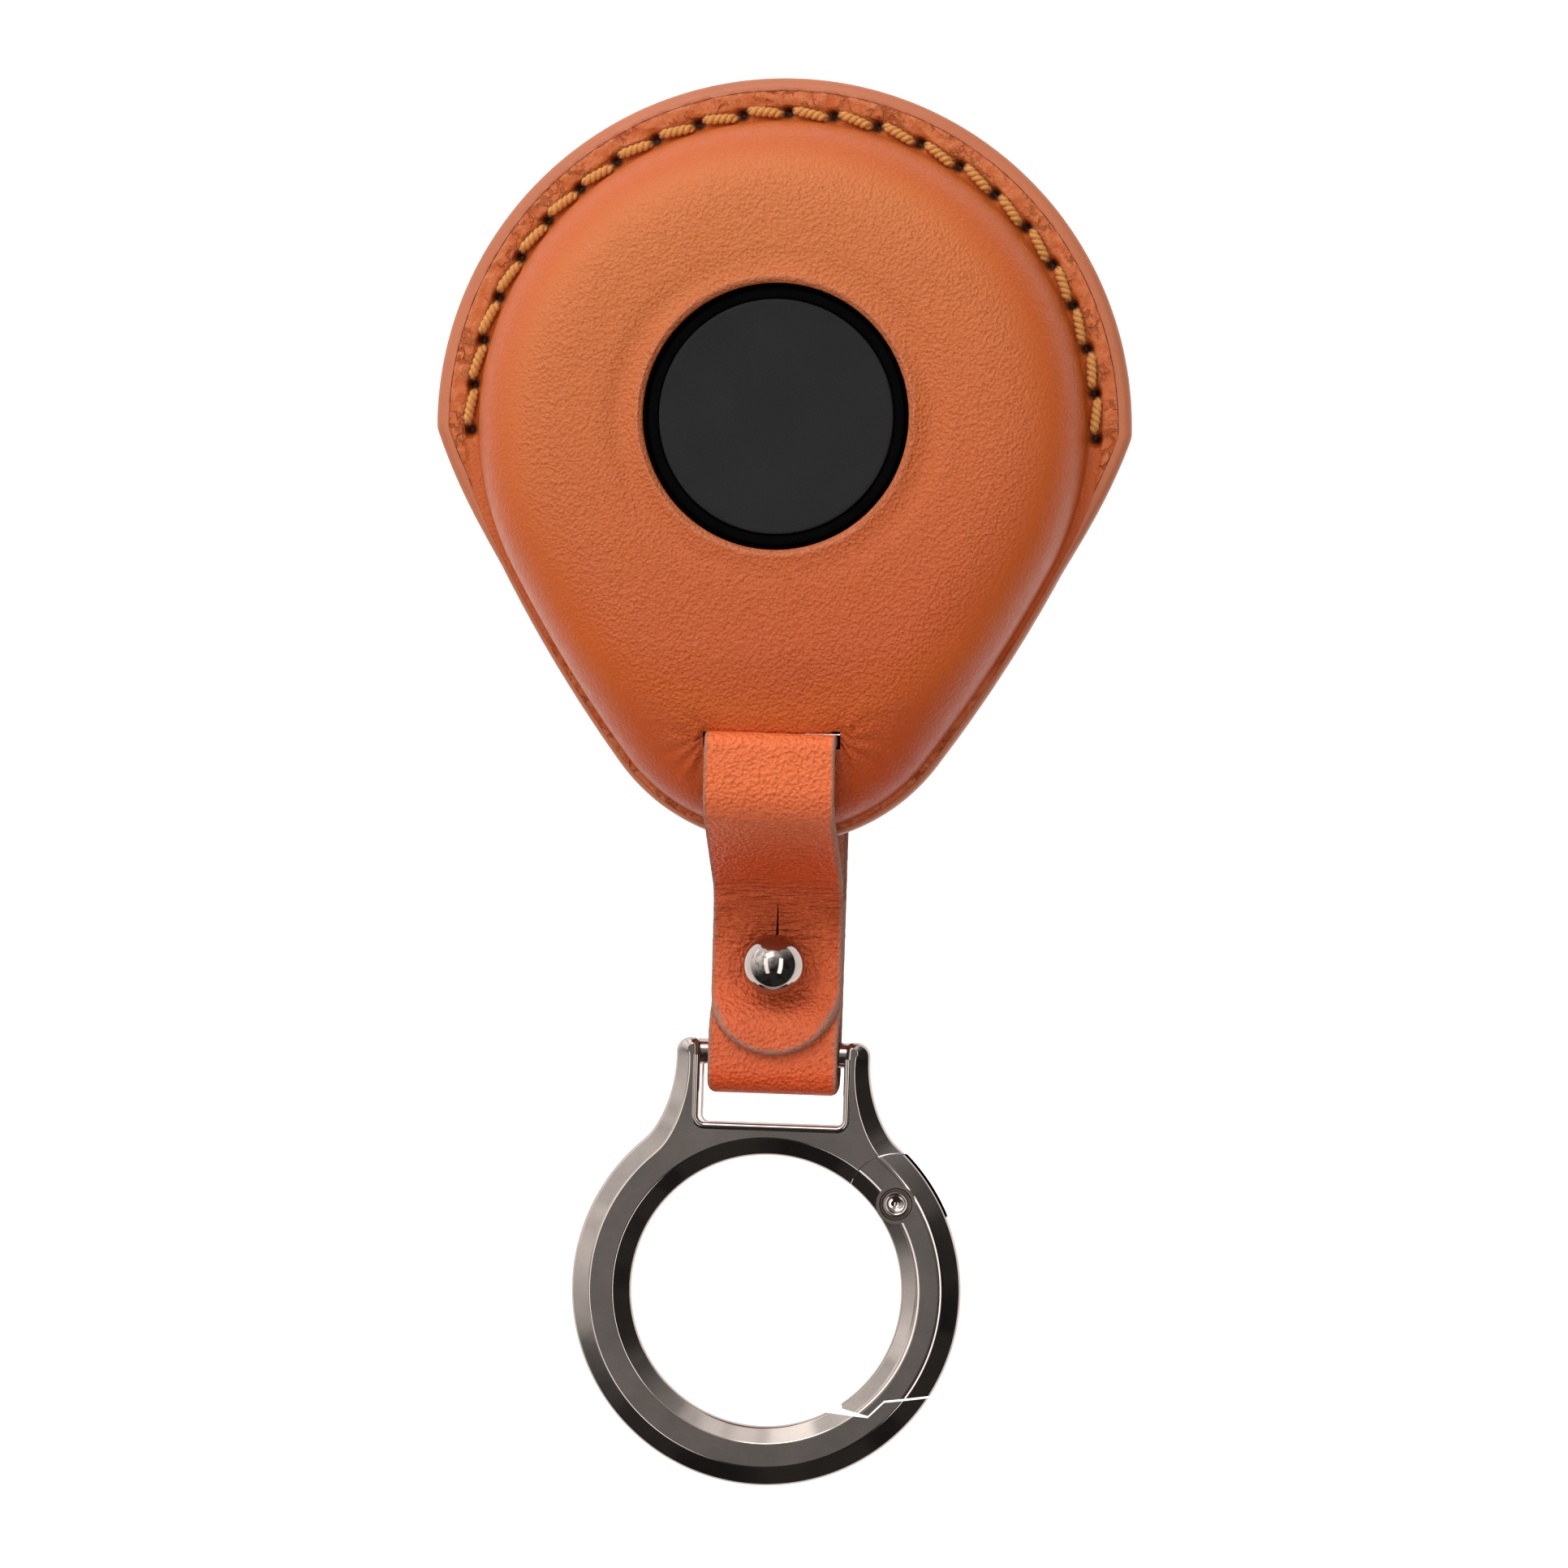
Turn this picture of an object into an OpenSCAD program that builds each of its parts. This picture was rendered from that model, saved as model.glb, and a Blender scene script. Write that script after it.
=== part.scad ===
// Moulded leather cover for a key fob, with a looped strap, a ball stud and a spring gate ring.
// It lies on its back: the front faces up, the round head points to +Y and the ring to -Y.

/* [Cover] */
// Radius of the round head at the foot of the dome
head_r = 28; // [25:0.5:32]
// Radius of the long side arcs between the head and the tail
side_r = 132; // [115:1:160]
// Radius of the round tail
tail_r = 17; // [15:0.1:19]
// Thickness of the whole cover, front to back
cover_t = 19; // [18:0.5:22]
// Thickness of the shell leather
leather_t = 1.25; // [1:0.05:1.6]
// Thickness of the suede lining
lining_t = 0.5; // [0.3:0.05:0.8]
// Width of the sewn flange around the head
flange_w = 4.05; // [3:0.05:5]
// Width of the flange around the tail
tail_flange_w = 1; // [0.6:0.1:1.2]
// Run of the dome's side, from its foot to the flat top
dome_run = 9; // [7:0.5:10]
// Radius of the round window in the front
window_r = 12.2; // [10:0.1:13]
// Distance of the window's centre above the head's centre
window_up = 0.7; // [0:0.1:1]
// Depth of the shallow groove around the window
window_groove = 0.5; // [0.2:0.1:0.7]

/* [Stitches] */
// Distance between two stitch holes
stitch_pitch = 4.15; // [3:0.05:5]
// Thickness of the thread
thread_d = 0.9; // [0.6:0.1:1.2]
// Distance from the foot of the dome to the line of stitches
stitch_out = 0.85; // [0.5:0.05:1]

/* [Strap] */
// Width of the strap
strap_w = 12; // [10:0.5:16]
// Thickness of the strap leather
strap_t = 1.2; // [1:0.1:1.4]
// Radius of the ball stud
stud_r = 2.85; // [2.5:0.05:3.4]
// Distance from the bend of the strap to the stud
stud_drop = 6.9; // [6.5:0.1:8]
// Turn of the strap to the left, as it lies
hang_yaw = 0.9; // [0:0.1:3]

/* [Ring] */
// Outer radius of the ring
ring_r = 18.05; // [17:0.05:20]
// Width of the ring's band, from the eye to the outer edge
ring_band_w = 5.55; // [5.2:0.05:6.5]
// Thickness of the ring
ring_t = 5; // [4.5:0.1:6]
// Radius of the bar that the strap goes round
bar_r = 1.2; // [0.9:0.05:1.3]
// Distance from the ring's outer edge to the middle of the bar
bar_over_ring = 3.87; // [3.5:0.01:6]
// Radius of the gate's pivot pin
pin_r = 0.85; // [0.6:0.05:1]

/* [Key fob] */
// Wall of the key fob's plastic case
fob_wall = 1.2; // [1:0.1:1.5]
// Radius of the round face that fills the window
fob_face_r = 11.8; // [10:0.1:13.5]
// Radius of the coin cell
cell_r = 10; // [8:0.5:12]
// Thickness of the coin cell
cell_t = 3.2; // [2:0.1:4]

/* [Hidden] */
$fn = 48;
// One overrun serves all cuts
over = 0.5;

// Colours as the photograph shows them
leather_colour = [0.80, 0.45, 0.24];
strap_colour = [0.84, 0.40, 0.22];
lining_colour = [0.45, 0.27, 0.16];
thread_colour = [0.86, 0.60, 0.28];
metal_colour = [0.36, 0.33, 0.31];
black_colour = [0.05, 0.05, 0.05];
face_colour = [0.18, 0.18, 0.18];
board_colour = [0.10, 0.35, 0.18];
steel_colour = [0.75, 0.75, 0.74];

// Outline of the cover: normal angles where the head ends and where the tail corner starts
side_start_angle = -27.7;
side_end_angle = -36.7;
head_steps = 17;
side_steps = 3;
tail_steps = 7;

// The bar lies this far below the cover's end, and the middle of the whole length is the origin
eye_r = ring_r - ring_band_w;
bar_drop = ring_r + bar_over_ring;
bar_below_end = 20.397;
end_below_head = tail_r - (head_r - side_r) * sin(side_start_angle)
    - (side_r - tail_r) * sin(side_end_angle);
bar_below_head = end_below_head + bar_below_end;
ring_below_head = bar_below_head + bar_drop;
head_y = (ring_below_head + ring_r - head_r - flange_w) / 2;
ring_y = head_y - ring_below_head;
bar_y = head_y - bar_below_head;
window_y = head_y + window_up;

half_t = cover_t / 2;
tail_x = (head_r - side_r) * cos(side_start_angle) + (side_r - tail_r) * cos(side_end_angle);
cover_end_y = head_y - end_below_head;
tail_y = cover_end_y + tail_r;

// Thinning of the cover toward its tail, as a share of its half thickness
tail_thin_share = 0.32;
taper_start_share = 5 / 7;
taper_start_y = head_y - taper_start_share * head_r;

// Each station is a centre, a normal angle and a radius
right_stations = concat(
    [for (i = [0:tail_steps])
        [tail_x, tail_y, -90 + (side_end_angle + 90) * i / tail_steps, tail_r]],
    [for (i = [1:side_steps])
        [
            (head_r - side_r) * cos(side_start_angle),
            head_y + (head_r - side_r) * sin(side_start_angle),
            side_end_angle + (side_start_angle - side_end_angle) * i / side_steps,
            side_r
        ]],
    [for (i = [1:head_steps])
        [0, head_y, side_start_angle + (90 - side_start_angle) * i / head_steps, head_r]]
);
right_count = len(right_stations);
stations = concat(
    right_stations,
    [for (i = [right_count - 2:-1:0])
        let (s = right_stations[i])
        [-s[0], s[1], 180 - s[2], s[3]]]
);

// Shares of the dome's run at which its outer and inner surfaces have their rings
outer_run_shares = [0, 0.03, 0.1, 0.22, 0.4, 0.65, 1];
inner_run_shares = [0, 0.05, 0.2, 0.5, 1];
dome_power = 2.4;
flange_full_angle = -1;
flange_fall_power = 1.6;

function smooth(t) = let (c = min(max(t, 0), 1)) c * c * (3 - 2 * c);
function rise_share(u) = pow(1 - pow(1 - u, dome_power), 1 / dome_power);
function thin_share(y) =
    1 - tail_thin_share * smooth((taper_start_y - y) / (taper_start_y - cover_end_y));
function inset_point(s, inset) =
    [s[0] + (s[3] - inset) * cos(s[2]), s[1] + (s[3] - inset) * sin(s[2])];
function folded_angle(a) = a > 90 ? 180 - a : a;
function fall_share(t) = pow(min(max(t, 0), 1), flange_fall_power);
function flange_at(a) =
    tail_flange_w + (flange_w - tail_flange_w)
    * fall_share((folded_angle(a) - side_start_angle) / (flange_full_angle - side_start_angle));

// A ring on the flange: a share of its width out from the foot, at a height
function flange_ring(width_share, z) =
    [for (s = stations) let (p = inset_point(s, -width_share * flange_at(s[2]))) [p.x, p.y, z]];
// A ring on a dome that lies deeper than the outer surface by depth and starts at foot
function dome_ring(run_share, depth, foot) =
    [for (s = stations)
        let (p = inset_point(s, depth + (dome_run - depth) * run_share))
        let (top = half_t * thin_share(p.y) - depth)
        [p.x, p.y, foot + (top - foot) * rise_share(run_share)]];
// A round ring about the window's centre, at the same bearings as the edge of the flat top
function round_ring(r, z) =
    [for (s = stations)
        let (p = inset_point(s, dome_run))
        let (a = atan2(p.y - window_y, p.x))
        [r * cos(a), window_y + r * sin(a), z]];

// Triangles between the rings of a loft, split along each quad's shorter diagonal
function ring_faces(points, n, a, b) =
    [for (j = [0:n - 1])
        let (k = (j + 1) % n, p = a * n + j, q = a * n + k, r = b * n + j, s = b * n + k)
        for (f = norm(points[p] - points[s]) < norm(points[q] - points[r])
            ? [[p, s, q], [p, r, s]] : [[p, r, q], [q, r, s]]) f];
// A ladder across a loft's first or last ring
function ladder_faces(n, first, up) =
    [for (j = [0:right_count - 2])
        let (a = first + j, b = a + 1, c = first + n - 2 - j, d = c + 1)
        for (f = b == c ? [[a, d, b]] : [[a, c, b], [a, d, c]]) up ? f : [f[0], f[2], f[1]]];
module capped_loft(rings) {
    n = len(rings[0]);
    last = len(rings) - 1;
    points = [for (r = rings) for (p = r) p];
    polyhedron(
        points = points,
        faces = concat(
            [for (i = [0:last - 1]) for (f = ring_faces(points, n, i, i + 1)) f],
            ladder_faces(n, 0, false),
            ladder_faces(n, last * n, true)
        )
    );
}
module looped_loft(rings) {
    n = len(rings[0]);
    count = len(rings);
    points = [for (r = rings) for (p = r) p];
    polyhedron(
        points = points,
        faces = [for (i = [0:count - 1]) for (f = ring_faces(points, n, i, (i + 1) % count)) f]
    );
}

// Rings of the sewn flange and of the dome, from the parting plane to the flat top
flange_edge_share = 0.8;
flange_side_share = 0.6;
shell_rings = concat(
    [
        flange_ring(1, 0),
        flange_ring(1, flange_side_share * leather_t),
        flange_ring(flange_edge_share, leather_t)
    ],
    [for (u = outer_run_shares) dome_ring(u, 0, leather_t)]
);
function inner_rings(depth, foot) = [for (u = inner_run_shares) dome_ring(u, depth, foot)];
function reversed(list) = [for (i = [len(list) - 1:-1:0]) list[i]];

// The window's surround: outer edge of the groove, its bottom, the raised lip and the rim
surround_w = 5.4;
groove_bottom_out = 3;
lip_w = 1;
lip_rise = 0.2;
groove_outer_r = window_r + surround_w;
groove_bottom_r = window_r + groove_bottom_out;
lip_r = window_r + lip_w;

module front_half() translate([0, 0, half_t]) children();
module rear_half() translate([0, 0, half_t]) mirror([0, 0, 1]) children();

// The strap goes in at the front slot, down inside the tail and out of the rear slot
slot_above_end = 8.59;
slot_y = cover_end_y + slot_above_end;
slot_side_gap = 0.4;
slot_gap = 0.3;
slot_w = strap_w + 2 * slot_side_gap;
slot_len = strap_t + 2 * slot_gap;
module strap_slot() {
    translate([-slot_w / 2, slot_y - slot_len / 2, over])
        cube([slot_w, slot_len, half_t + over]);
}

module front_shell() color(leather_colour) front_half() difference() {
    looped_loft(concat(
        shell_rings,
        [
            round_ring(groove_outer_r, half_t),
            round_ring(groove_bottom_r, half_t - window_groove),
            round_ring(lip_r, half_t + lip_rise - window_groove / 2),
            round_ring(window_r, half_t - window_groove),
            round_ring(window_r, half_t - leather_t),
            round_ring(groove_outer_r, half_t - leather_t)
        ],
        reversed(inner_rings(leather_t, 0))
    ));
    strap_slot();
}

module rear_shell() color(leather_colour) rear_half() difference() {
    capped_loft(concat(reversed(inner_rings(leather_t, 0)), shell_rings));
    strap_slot();
}

// The linings lie just inside the shells and stop short of the parting plane and the window
lining_gap = 0.05;
lining_depth = leather_t + lining_gap;
lining_inner_depth = lining_depth + lining_t;
lining_window_r = window_r + lip_w;
module front_lining() color(lining_colour) front_half() difference() {
    looped_loft(concat(
        inner_rings(lining_depth, lining_gap),
        [
            round_ring(groove_outer_r, half_t - lining_depth),
            round_ring(lining_window_r, half_t - lining_depth),
            round_ring(lining_window_r, half_t - lining_inner_depth),
            round_ring(groove_outer_r, half_t - lining_inner_depth)
        ],
        reversed(inner_rings(lining_inner_depth, lining_gap))
    ));
    strap_slot();
}
module rear_lining() color(lining_colour) rear_half() difference() {
    capped_loft(concat(
        reversed(inner_rings(lining_inner_depth, lining_gap)),
        inner_rings(lining_depth, lining_gap)
    ));
    strap_slot();
}

// The stitches run around the head, on the flange beside the dome's foot
stitch_r = head_r + stitch_out;
stitch_end_angle = -1.4;
stitch_arc = 180 - 2 * stitch_end_angle;
stitch_count = round(stitch_arc * PI / 180 * stitch_r / stitch_pitch);
stitch_step = stitch_arc / stitch_count;
stitch_show_share = 0.76;
stitch_foot_z = half_t + leather_t;
module stitches() for (i = [0:stitch_count - 1])
    translate([0, head_y, stitch_foot_z])
        rotate(stitch_end_angle + (i + 0.5) * stitch_step)
            translate([stitch_r, 0, 0])
                rotate([90, 0, 0])
                    linear_extrude(stitch_show_share * stitch_pitch, center = true)
                        intersection() {
                            circle(thread_d / 2);
                            translate([-thread_d / 2, 0]) square([thread_d, thread_d / 2]);
                        }
module front_stitches() color(thread_colour) stitches();
module rear_stitches() color(thread_colour)
    translate([0, 0, cover_t]) mirror([0, 0, 1]) stitches();

// A strap is a band along a route of corners, each a place along Y and Z with a bend radius
bend_steps = 6;
function bearing(a, b) = atan2(b[1] - a[1], b[0] - a[0]);
function turn(a, b) = (b - a + 540) % 360 - 180;
function left_of(h) = [-sin(h), cos(h)];
function route(corners) = concat(
    [[corners[0][0], corners[0][1], bearing(corners[0], corners[1])]],
    [for (i = [1:len(corners) - 2])
        let (c = corners[i], h = bearing(corners[i - 1], c), d = turn(h, bearing(c, corners[i + 1])))
        let (side = sign(d), run = c[2] * tan(abs(d) / 2))
        let (start = [c[0] - run * cos(h), c[1] - run * sin(h)])
        let (centre = start + side * c[2] * left_of(h))
        for (k = [0:bend_steps])
            let (g = h + d * k / bend_steps, p = centre - side * c[2] * left_of(g))
            [p[0], p[1], g]],
    [let (n = len(corners) - 1)
        [corners[n][0], corners[n][1], bearing(corners[n - 1], corners[n])]]
);
function beside(points, offset) =
    [for (p = points) [p[0], p[1]] + offset * left_of(p[2])];
module band(corners, width) {
    points = route(corners);
    translate([-width / 2, 0, 0])
        rotate([90, 0, 90])
            linear_extrude(width)
                polygon(concat(
                    beside(points, strap_t / 2),
                    reversed(beside(points, -strap_t / 2))
                ));
}
// What hangs from the cover is turned a little about the front slot
module hung() translate([0, slot_y, 0]) rotate(-hang_yaw) translate([0, -slot_y, 0]) children();

// The strap bends just below the tail, where its two runs meet
bend_below_end = 5.26;
bend_y = cover_end_y - bend_below_end;
bend_z = strap_t / 2;
bend_gap = 0.2;
cover_gap = 0.35;
front_top_z = half_t + half_t * thin_share(slot_y) + cover_gap + strap_t / 2;
tail_over = 2.14;
tail_over_y = cover_end_y + tail_over;
ply_gap = 0.05;
under_z = bend_z + strap_t + ply_gap;
tongue_z = under_z + strap_t + ply_gap;
tongue_root_gap = 0.2;
tongue_y = bend_y - tongue_root_gap;
// Bend radii, as shares of the strap's thickness
tight_share = 1.3;
fold_share = 1.4;
loop_share = 2;
tongue_share = 2.5;
front_share = 3;
bend_clear_r = tongue_z + strap_t / 2 - bend_z + bend_gap;
module strap_upper() color(strap_colour) hung() difference() {
    band([
        [bend_y, bend_z],
        [slot_y, bend_z, tight_share * strap_t],
        [slot_y, front_top_z, strap_t / 2 + bend_gap],
        [tail_over_y, front_top_z - strap_t / 2, front_share * strap_t],
        [bend_y, tongue_z + strap_t / 2]
    ], strap_w);
    translate([-slot_w / 2, bend_y, bend_z]) rotate([0, 90, 0])
        cylinder(r = strap_t / 2 + bend_gap, h = slot_w);
    difference() {
        translate([-slot_w / 2, bend_y, bend_z]) rotate([0, 90, 0])
            cylinder(r = bend_clear_r, h = slot_w);
        translate([-slot_w, bend_y - 2 * strap_t, 0])
            cube([2 * slot_w, half_t, strap_t + bend_gap]);
    }
}

stud_y = bend_y - stud_drop;
under_end_gap = 0.8;
under_end_y = bend_y - under_end_gap;
bar_z = ring_t / 2;
bar_gap = 0.2;
loop_z = bar_z + bar_r + bar_gap + strap_t / 2;
fold_drop = 3.15;
loop_top_over = 2.15;
loop_foot_over = 5.15;
fold_y = bar_y - fold_drop;
loop_top_y = bar_y + loop_top_over;
loop_foot_y = bar_y + loop_foot_over;
screw_r = 1;
screw_gap = 0.05;
screw_head_r = 2.2;
screw_head_t = strap_t / 2;
screw_inset = 0.1;
module across_strap(y, z, r) translate([-strap_w / 2, y, z]) rotate([0, 90, 0])
    cylinder(r = r, h = strap_w);
module strap_lower() color(strap_colour) hung() difference() {
    union() {
        band([
            [bend_y, bend_z],
            [fold_y, bend_z, fold_share * strap_t],
            [fold_y, loop_z, fold_share * strap_t],
            [loop_top_y, loop_z, loop_share * strap_t],
            [loop_foot_y, under_z, loop_share * strap_t],
            [under_end_y, under_z]
        ], strap_w);
        across_strap(bend_y, bend_z, strap_t / 2);
    }
    translate([0, stud_y, -over]) cylinder(r = screw_r + screw_gap, h = 2 * strap_t + 2 * over);
    translate([0, stud_y, -over])
        cylinder(r = screw_head_r + screw_gap, h = over + screw_inset + screw_head_t);
}

// The tongue is the strap's outer end: a keyhole and its slit button over the stud
tongue_end_drop = 0.15;
tongue_end_y = bar_y - tongue_end_drop;
tongue_flat_z = loop_z + strap_t + ply_gap;
loop_slope = atan2(loop_z - under_z, loop_foot_over - loop_top_over);
ply_shift = (strap_t + ply_gap) * tan(loop_slope / 2);
keyhole_r = 2.05;
slit_w = 0.3;
slit_len = 4;
module strap_tongue() color(strap_colour) hung() difference() {
    intersection() {
        union() {
            band([
                [tongue_y, tongue_z],
                [loop_foot_y + ply_shift, tongue_z, tongue_share * strap_t],
                [loop_top_y + ply_shift, tongue_flat_z, tongue_share * strap_t],
                [tongue_end_y, tongue_flat_z]
            ], strap_w);
            across_strap(tongue_y, tongue_z, strap_t / 2);
        }
        union() {
            translate([0, tongue_end_y + strap_w / 2, 0]) cylinder(r = strap_w / 2, h = half_t);
            translate([-strap_w / 2, tongue_end_y + strap_w / 2, 0])
                cube([strap_w, bar_below_head, half_t]);
        }
    }
    translate([0, stud_y, strap_t]) cylinder(r = keyhole_r, h = 3 * strap_t);
    translate([-slit_w / 2, stud_y, strap_t]) cube([slit_w, keyhole_r + slit_len, 3 * strap_t]);
}

// The stud: a base disc on the under layer, a neck and a ball, held by a screw from behind
stud_base_r = 1.9;
stud_base_t = 0.5;
stud_neck_r = 1.3;
stud_foot_z = under_z + strap_t / 2;
ball_lift_share = 0.95;
ball_z = tongue_z + strap_t / 2 + ball_lift_share * stud_r;
stud_bore_top = ball_z - stud_r / 2;
module stud_head() color(metal_colour) hung() translate([0, stud_y, 0]) difference() {
    union() {
        translate([0, 0, stud_foot_z]) cylinder(r = stud_base_r, h = stud_base_t);
        translate([0, 0, stud_foot_z]) cylinder(r = stud_neck_r, h = ball_z - stud_foot_z);
        translate([0, 0, ball_z]) sphere(stud_r);
    }
    translate([0, 0, stud_foot_z - over])
        cylinder(r = screw_r + screw_gap / 2, h = stud_bore_top - stud_foot_z + over);
}
drive_slot_w = 0.6;
module stud_screw() color(metal_colour) hung() translate([0, stud_y, screw_inset]) difference() {
    union() {
        cylinder(r = screw_head_r, h = screw_head_t);
        cylinder(r = screw_r, h = stud_bore_top - screw_inset - screw_gap);
    }
    translate([-screw_head_r, -drive_slot_w / 2, -over])
        cube([2 * screw_head_r, drive_slot_w, over + screw_head_t / 2]);
}

// The ring and its frame are drawn about the centre of the eye
module ring_place() hung() translate([0, ring_y, 0]) children();
outer_bevel = 1.75;
inner_bevel = 1.6;
bevel_h = 1.5;
module ring_section() polygon([
    [eye_r, bevel_h], [eye_r + inner_bevel, 0], [ring_r - outer_bevel, 0], [ring_r, bevel_h],
    [ring_r, ring_t - bevel_h], [ring_r - outer_bevel, ring_t],
    [eye_r + inner_bevel, ring_t], [eye_r, ring_t - bevel_h]
]);
function polar(r, a) = [r * cos(a), r * sin(a)];

// The gate turns on its pin inside the ring's own band, and its lip closes on the frame
pivot_angle = 35.4;
pivot_in = 0.7;
band_mid_r = (ring_r + eye_r) / 2;
pivot_r = band_mid_r - pivot_in;
hinge_r = 4.6;
hinge_gap = 0.1;
hinge_end_angle = 58;
nose_outer_angle = -27.3;
nose_step_angle = -41;
nose_lip_angle = -48.8;
nose_tip_angle = -62;
nose_in = 0.175;
nose_r = band_mid_r - nose_in;
nose_gap = 0.2;
// The gate's lip ends blunt, a little off the eye
blunt_low_angle = -55.3;
blunt_high_angle = -51.5;
blunt_out = 0.65;
cut_reach_share = 1.4;
arc_overlap_angle = 1;
tongue_low_z = 1.5;
tongue_plate_t = 1.2;
tongue_eye_r = 1.9;
tongue_neck_half_w = 1.5;
tongue_gap = 0.06;
running_gap = 0.04;
// A small torsion spring lies around the pin, between the frame's tongue and the gate
spring_wire_d = 0.3;
spring_turns = 1.75;
spring_rise = 0.4;
spring_out = 0.5;
spring_gap = 0.05;
spring_low_z = tongue_low_z + tongue_plate_t + spring_wire_d / 2 + spring_gap;
hinge_slot_low_z = tongue_low_z - tongue_gap;
hinge_slot_high_z = spring_low_z + spring_rise * spring_turns + spring_wire_d / 2 + spring_gap;
module at_pivot(z) translate([pivot_r * cos(pivot_angle), pivot_r * sin(pivot_angle), z]) children();
// What the gate gives up at its nose: all that lies on the frame's side of the cut
module frame_side_cut() translate([0, nose_gap, -over]) linear_extrude(ring_t + 2 * over) polygon([
    polar(ring_r + outer_bevel, nose_outer_angle),
    polar(nose_r, nose_step_angle),
    polar(nose_r, nose_lip_angle),
    polar(eye_r + blunt_out, blunt_low_angle),
    polar(eye_r - inner_bevel, blunt_high_angle),
    polar(eye_r - inner_bevel, -90),
    polar(ring_r + outer_bevel, -90),
    polar(cut_reach_share * ring_r, (nose_outer_angle - 90) / 2)
]);
// What the frame gives up there: all that lies on the gate's side
module gate_side_cut() translate([0, 0, -over]) linear_extrude(ring_t + 2 * over) polygon([
    polar(ring_r + outer_bevel, nose_outer_angle),
    polar(nose_r, nose_step_angle),
    polar(nose_r, nose_lip_angle),
    polar(eye_r, nose_tip_angle),
    polar(eye_r - inner_bevel, nose_tip_angle),
    polar(eye_r - inner_bevel, 0),
    polar(ring_r + outer_bevel, 0)
]);
module ring_arc(from, to) rotate(from) rotate_extrude(angle = to - from) ring_section();

// The strap frame: two flared legs, a bar across their ends and a web against the ring
frame_half_w = 9;
slot_half_w = 6.8;
web_top_drop = 6.6;
slot_cut_gap = 0.05;
flare_r = 13;
flare_w = 2;
flare_sink = 0.35;
flare_x = frame_half_w + flare_r;
flare_y = sqrt(pow(flare_r + ring_r - flare_sink, 2) - pow(flare_x, 2));
flare_angle = atan2(flare_y, flare_x);
leg_bevel = 0.7;
web_low_z = 0.65;
leg_over = 0.1;
leg_top_y = bar_drop + bar_r + leg_over;
module leg_profile() polygon([
    [flare_r, leg_bevel], [flare_r + leg_bevel, 0], [flare_r + flare_w, 0],
    [flare_r + flare_w, ring_t], [flare_r + leg_bevel, ring_t], [flare_r, ring_t - leg_bevel]
]);
module leg() {
    translate([-flare_x, flare_y, 0]) rotate(-flare_angle) rotate_extrude(angle = flare_angle)
        leg_profile();
    translate([-flare_x, leg_top_y, 0]) rotate([90, 0, 0]) linear_extrude(leg_top_y - flare_y)
        leg_profile();
}
web_arc_steps = 8;
module web() translate([0, 0, web_low_z]) linear_extrude(ring_t - 2 * web_low_z) polygon(concat(
    [[-slot_half_w, leg_top_y], [-frame_half_w + leg_bevel, leg_top_y]],
    [for (i = [0:web_arc_steps])
        [-flare_x, flare_y] + polar(flare_r + leg_bevel, -flare_angle * i / web_arc_steps)],
    [for (i = [0:web_arc_steps])
        polar(band_mid_r, 180 - flare_angle + (2 * flare_angle - 180) * i / web_arc_steps)],
    [for (i = [web_arc_steps:-1:0])
        [flare_x, flare_y] + polar(flare_r + leg_bevel, 180 + flare_angle * i / web_arc_steps)],
    [
        [frame_half_w - leg_bevel, leg_top_y], [slot_half_w, leg_top_y],
        [slot_half_w, bar_drop - web_top_drop], [-slot_half_w, bar_drop - web_top_drop]
    ]
));
// The slot goes on down through the ring's band, a little wider than in the web
module band_slot() translate([
    -slot_half_w - slot_cut_gap, bar_drop - web_top_drop - slot_cut_gap, -over
])
    cube([2 * (slot_half_w + slot_cut_gap), web_top_drop, ring_t + 2 * over]);
module ring_frame() color(metal_colour) ring_place() {
    difference() {
        union() {
            difference() {
                ring_arc(pivot_angle, 360 + nose_outer_angle);
                gate_side_cut();
                band_slot();
            }
            leg();
            mirror([1, 0, 0]) leg();
            web();
            translate([-frame_half_w + leg_bevel, bar_drop, bar_z]) rotate([0, 90, 0])
                cylinder(r = bar_r, h = 2 * (frame_half_w - leg_bevel));
        }
        at_pivot(-over) cylinder(r = hinge_r + hinge_gap, h = ring_t + 2 * over);
    }
    difference() {
        union() {
            rotate(pivot_angle) rotate_extrude(angle = hinge_end_angle - pivot_angle)
                translate([pivot_r - tongue_neck_half_w, tongue_low_z])
                    square([2 * tongue_neck_half_w, tongue_plate_t]);
            at_pivot(tongue_low_z) cylinder(r = tongue_eye_r, h = tongue_plate_t);
        }
        at_pivot(tongue_low_z - over)
            cylinder(r = pin_r + running_gap, h = tongue_plate_t + 2 * over);
    }
}

module gate() color(metal_colour) ring_place() difference() {
    union() {
        ring_arc(blunt_low_angle, pivot_angle);
        intersection() {
            ring_arc(pivot_angle - arc_overlap_angle, hinge_end_angle);
            at_pivot(0) cylinder(r = hinge_r, h = ring_t);
        }
    }
    frame_side_cut();
    at_pivot(hinge_slot_low_z)
        cylinder(r = hinge_r + hinge_gap, h = hinge_slot_high_z - hinge_slot_low_z);
    at_pivot(-over) cylinder(r = pin_r + running_gap, h = ring_t + 2 * over);
}

pin_inset = 0.1;
module gate_pivot_pin() color(metal_colour) ring_place()
    at_pivot(pin_inset) cylinder(r = pin_r, h = ring_t - 2 * pin_inset);

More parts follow.
